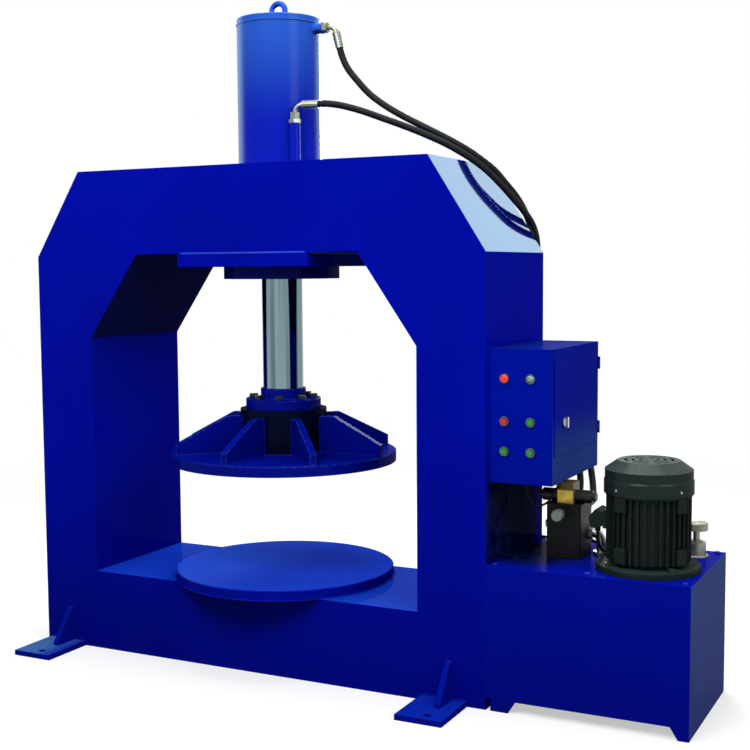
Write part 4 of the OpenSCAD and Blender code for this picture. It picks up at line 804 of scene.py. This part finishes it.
# Cables. Black rubber leads from the motor's terminal box and from the valve up to the glands in the
# control box's floor.
cable_rubber = rubber_cover("cable_rubber", (0.007, 0.007, 0.008), overlay=(0.03, 0.03, 0.032),
                            wraps=60.0, slant=1.0, strength=0.06)
motor_lead_diameter, valve_lead_diameter = 0.012, 0.008
motor_route = [[1311, -95, 626], [1311, -95, 602], [1312, -80, 570], [1316, -36, 543], [1316, 20, 531],
               [1306, 76, 527], [1276, 126, 526], [1226, 156, 528], [1168, 170, 540], [1118, 177, 572],
               [1088, 180, 630], [1076, 180, 700], [1075, 180, 748], [1075, 180, 778]]
valve_route = [[1155, -46, 760], [1155, -68, 758], [1153, -90, 746], [1146, -106, 726],
               [1130, -118, 708], [1108, -125, 700], [1086, -128, 710], [1069, -128, 734],
               [1062, -128, 758], [1062, -128, 778]]
motor_lead = line_of("motor_lead", motor_route, motor_lead_diameter, cable_rubber)
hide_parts("motor_cable")
valve_lead = line_of("valve_lead", valve_route, valve_lead_diameter, cable_rubber)
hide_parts("solenoid_cable")

# Studio floor. A wide pale floor that turns white away from the press, so that it runs up into the
# background; only rays that show the surround see it lit.
floor_reach = 30.0
near, far = 1.2, 6.0
black, white = (0.0, 0.0, 0.0), (1.0, 1.0, 1.0)
grey, pale_grey = (0.2, 0.2, 0.2), (0.95, 0.95, 0.95)
floor_mesh = bpy.data.meshes.new("floor")
corners = [(x * floor_reach, y * floor_reach, 0) for x, y in ((-1, -1), (1, -1), (1, 1), (-1, 1))]
floor_mesh.from_pydata(corners, [], [[0, 1, 2, 3]])
floor = bpy.data.objects.new("floor", floor_mesh)
floor_finish, floor_shader, at = new_finish("floor", Roughness=0.9, Specular_IOR_Level=0.0,
                                            Emission_Strength=1.0)


def in_sight(at):
    """1 for rays that show the surround: from the camera, or off gloss and through glass."""
    seen, gloss, through = (at.node("ShaderNodeLightPath", output=f"Is {kind} Ray")
                            for kind in ("Camera", "Glossy", "Transmission"))
    return at.math("MAXIMUM", at.math("MAXIMUM", seen, gloss), through)


seen = in_sight(at)
place = at.node("ShaderNodeTexCoord", output="Object")
away = at.node("ShaderNodeVectorMath", {"operation": "LENGTH"}, {0: place}, 1).step(near, far)
lit = seen * (away * 0.5 + 0.5)
feed(floor_shader, Base_Color=lit.mix(seen.mix(grey, pale_grey), black),
     Emission_Color=lit.mix(black, white))
floor_mesh.materials.append(floor_finish)
bpy.context.scene.collection.objects.link(floor)

# Surround and lamps. An even white surround that metal and gloss see as the camera does, dimmer as a
# light, and soft rectangular lamps above, in front, at the right and behind.
surround_light, surround_sight = 0.45, 0.55
world = bpy.data.worlds.new("surround")
bpy.context.scene.world = world
world.use_nodes = True
sky = world.node_tree.nodes["Background"]
strength = in_sight(Shade(world.node_tree)) * surround_sight + surround_light
world.node_tree.links.new(strength.socket, sky.inputs["Strength"])
sky.inputs["Color"].default_value = (*white, 1)


def lamp(name, place, target, width, height, watts):
    """A soft rectangular lamp at a place, facing a target."""
    light = bpy.data.lights.new(name, "AREA")
    light.shape, light.size, light.size_y, light.energy = "RECTANGLE", width, height, watts
    made = bpy.data.objects.new(name, light)
    way = Vector(target) - Vector(place)
    made.matrix_world = Matrix.Translation(place) @ way.to_track_quat("-Z", "Y").to_matrix().to_4x4()
    bpy.context.scene.collection.objects.link(made)


lamp("key", place=(0.3, -3.7, 4.2), target=(0.1, 0, 1.5), width=3.0, height=1.8, watts=160)
lamp("right", place=(4.5, -1.5, 3.2), target=(0.6, 0, 1.0), width=2.0, height=2.5, watts=75)
lamp("top", place=(0.4, 0.2, 5.2), target=(0.4, 0, 0), width=3.5, height=2.5, watts=150)
lamp("back", place=(-0.5, 3.6, 2.6), target=(-0.1, 0.1, 0.4), width=1.6, height=1.2, watts=110)

# Camera. The press is seen from the right of its front at standing eye height, looking slightly
# down, with a lens of medium length and a hint of roll.
eye_point = Vector((2.5528, -4.2549, 1.5296))
turn, dip, roll = math.radians(26.77), math.radians(4.84), math.radians(-0.40)
picture_pixels, focal_pixels, sensor_mm = 750, 1256.4, 36
ahead = Vector((-math.sin(turn) * math.cos(dip), math.cos(turn) * math.cos(dip), -math.sin(dip)))
level = Vector((math.cos(turn), math.sin(turn), 0))
upright = level.cross(ahead)
across = level * math.cos(roll) + upright * math.sin(roll)
above = upright * math.cos(roll) - level * math.sin(roll)
lens = bpy.data.cameras.new("camera")
lens.sensor_width = sensor_mm
lens.lens = sensor_mm * focal_pixels / picture_pixels
lens.clip_end = 100
camera = bpy.data.objects.new("camera", lens)
camera.matrix_world = Matrix((across, above, -ahead)).transposed().to_4x4()
camera.location = eye_point
bpy.context.scene.collection.objects.link(camera)
bpy.context.scene.camera = camera

bpy.context.scene.view_settings.view_transform = "Standard"
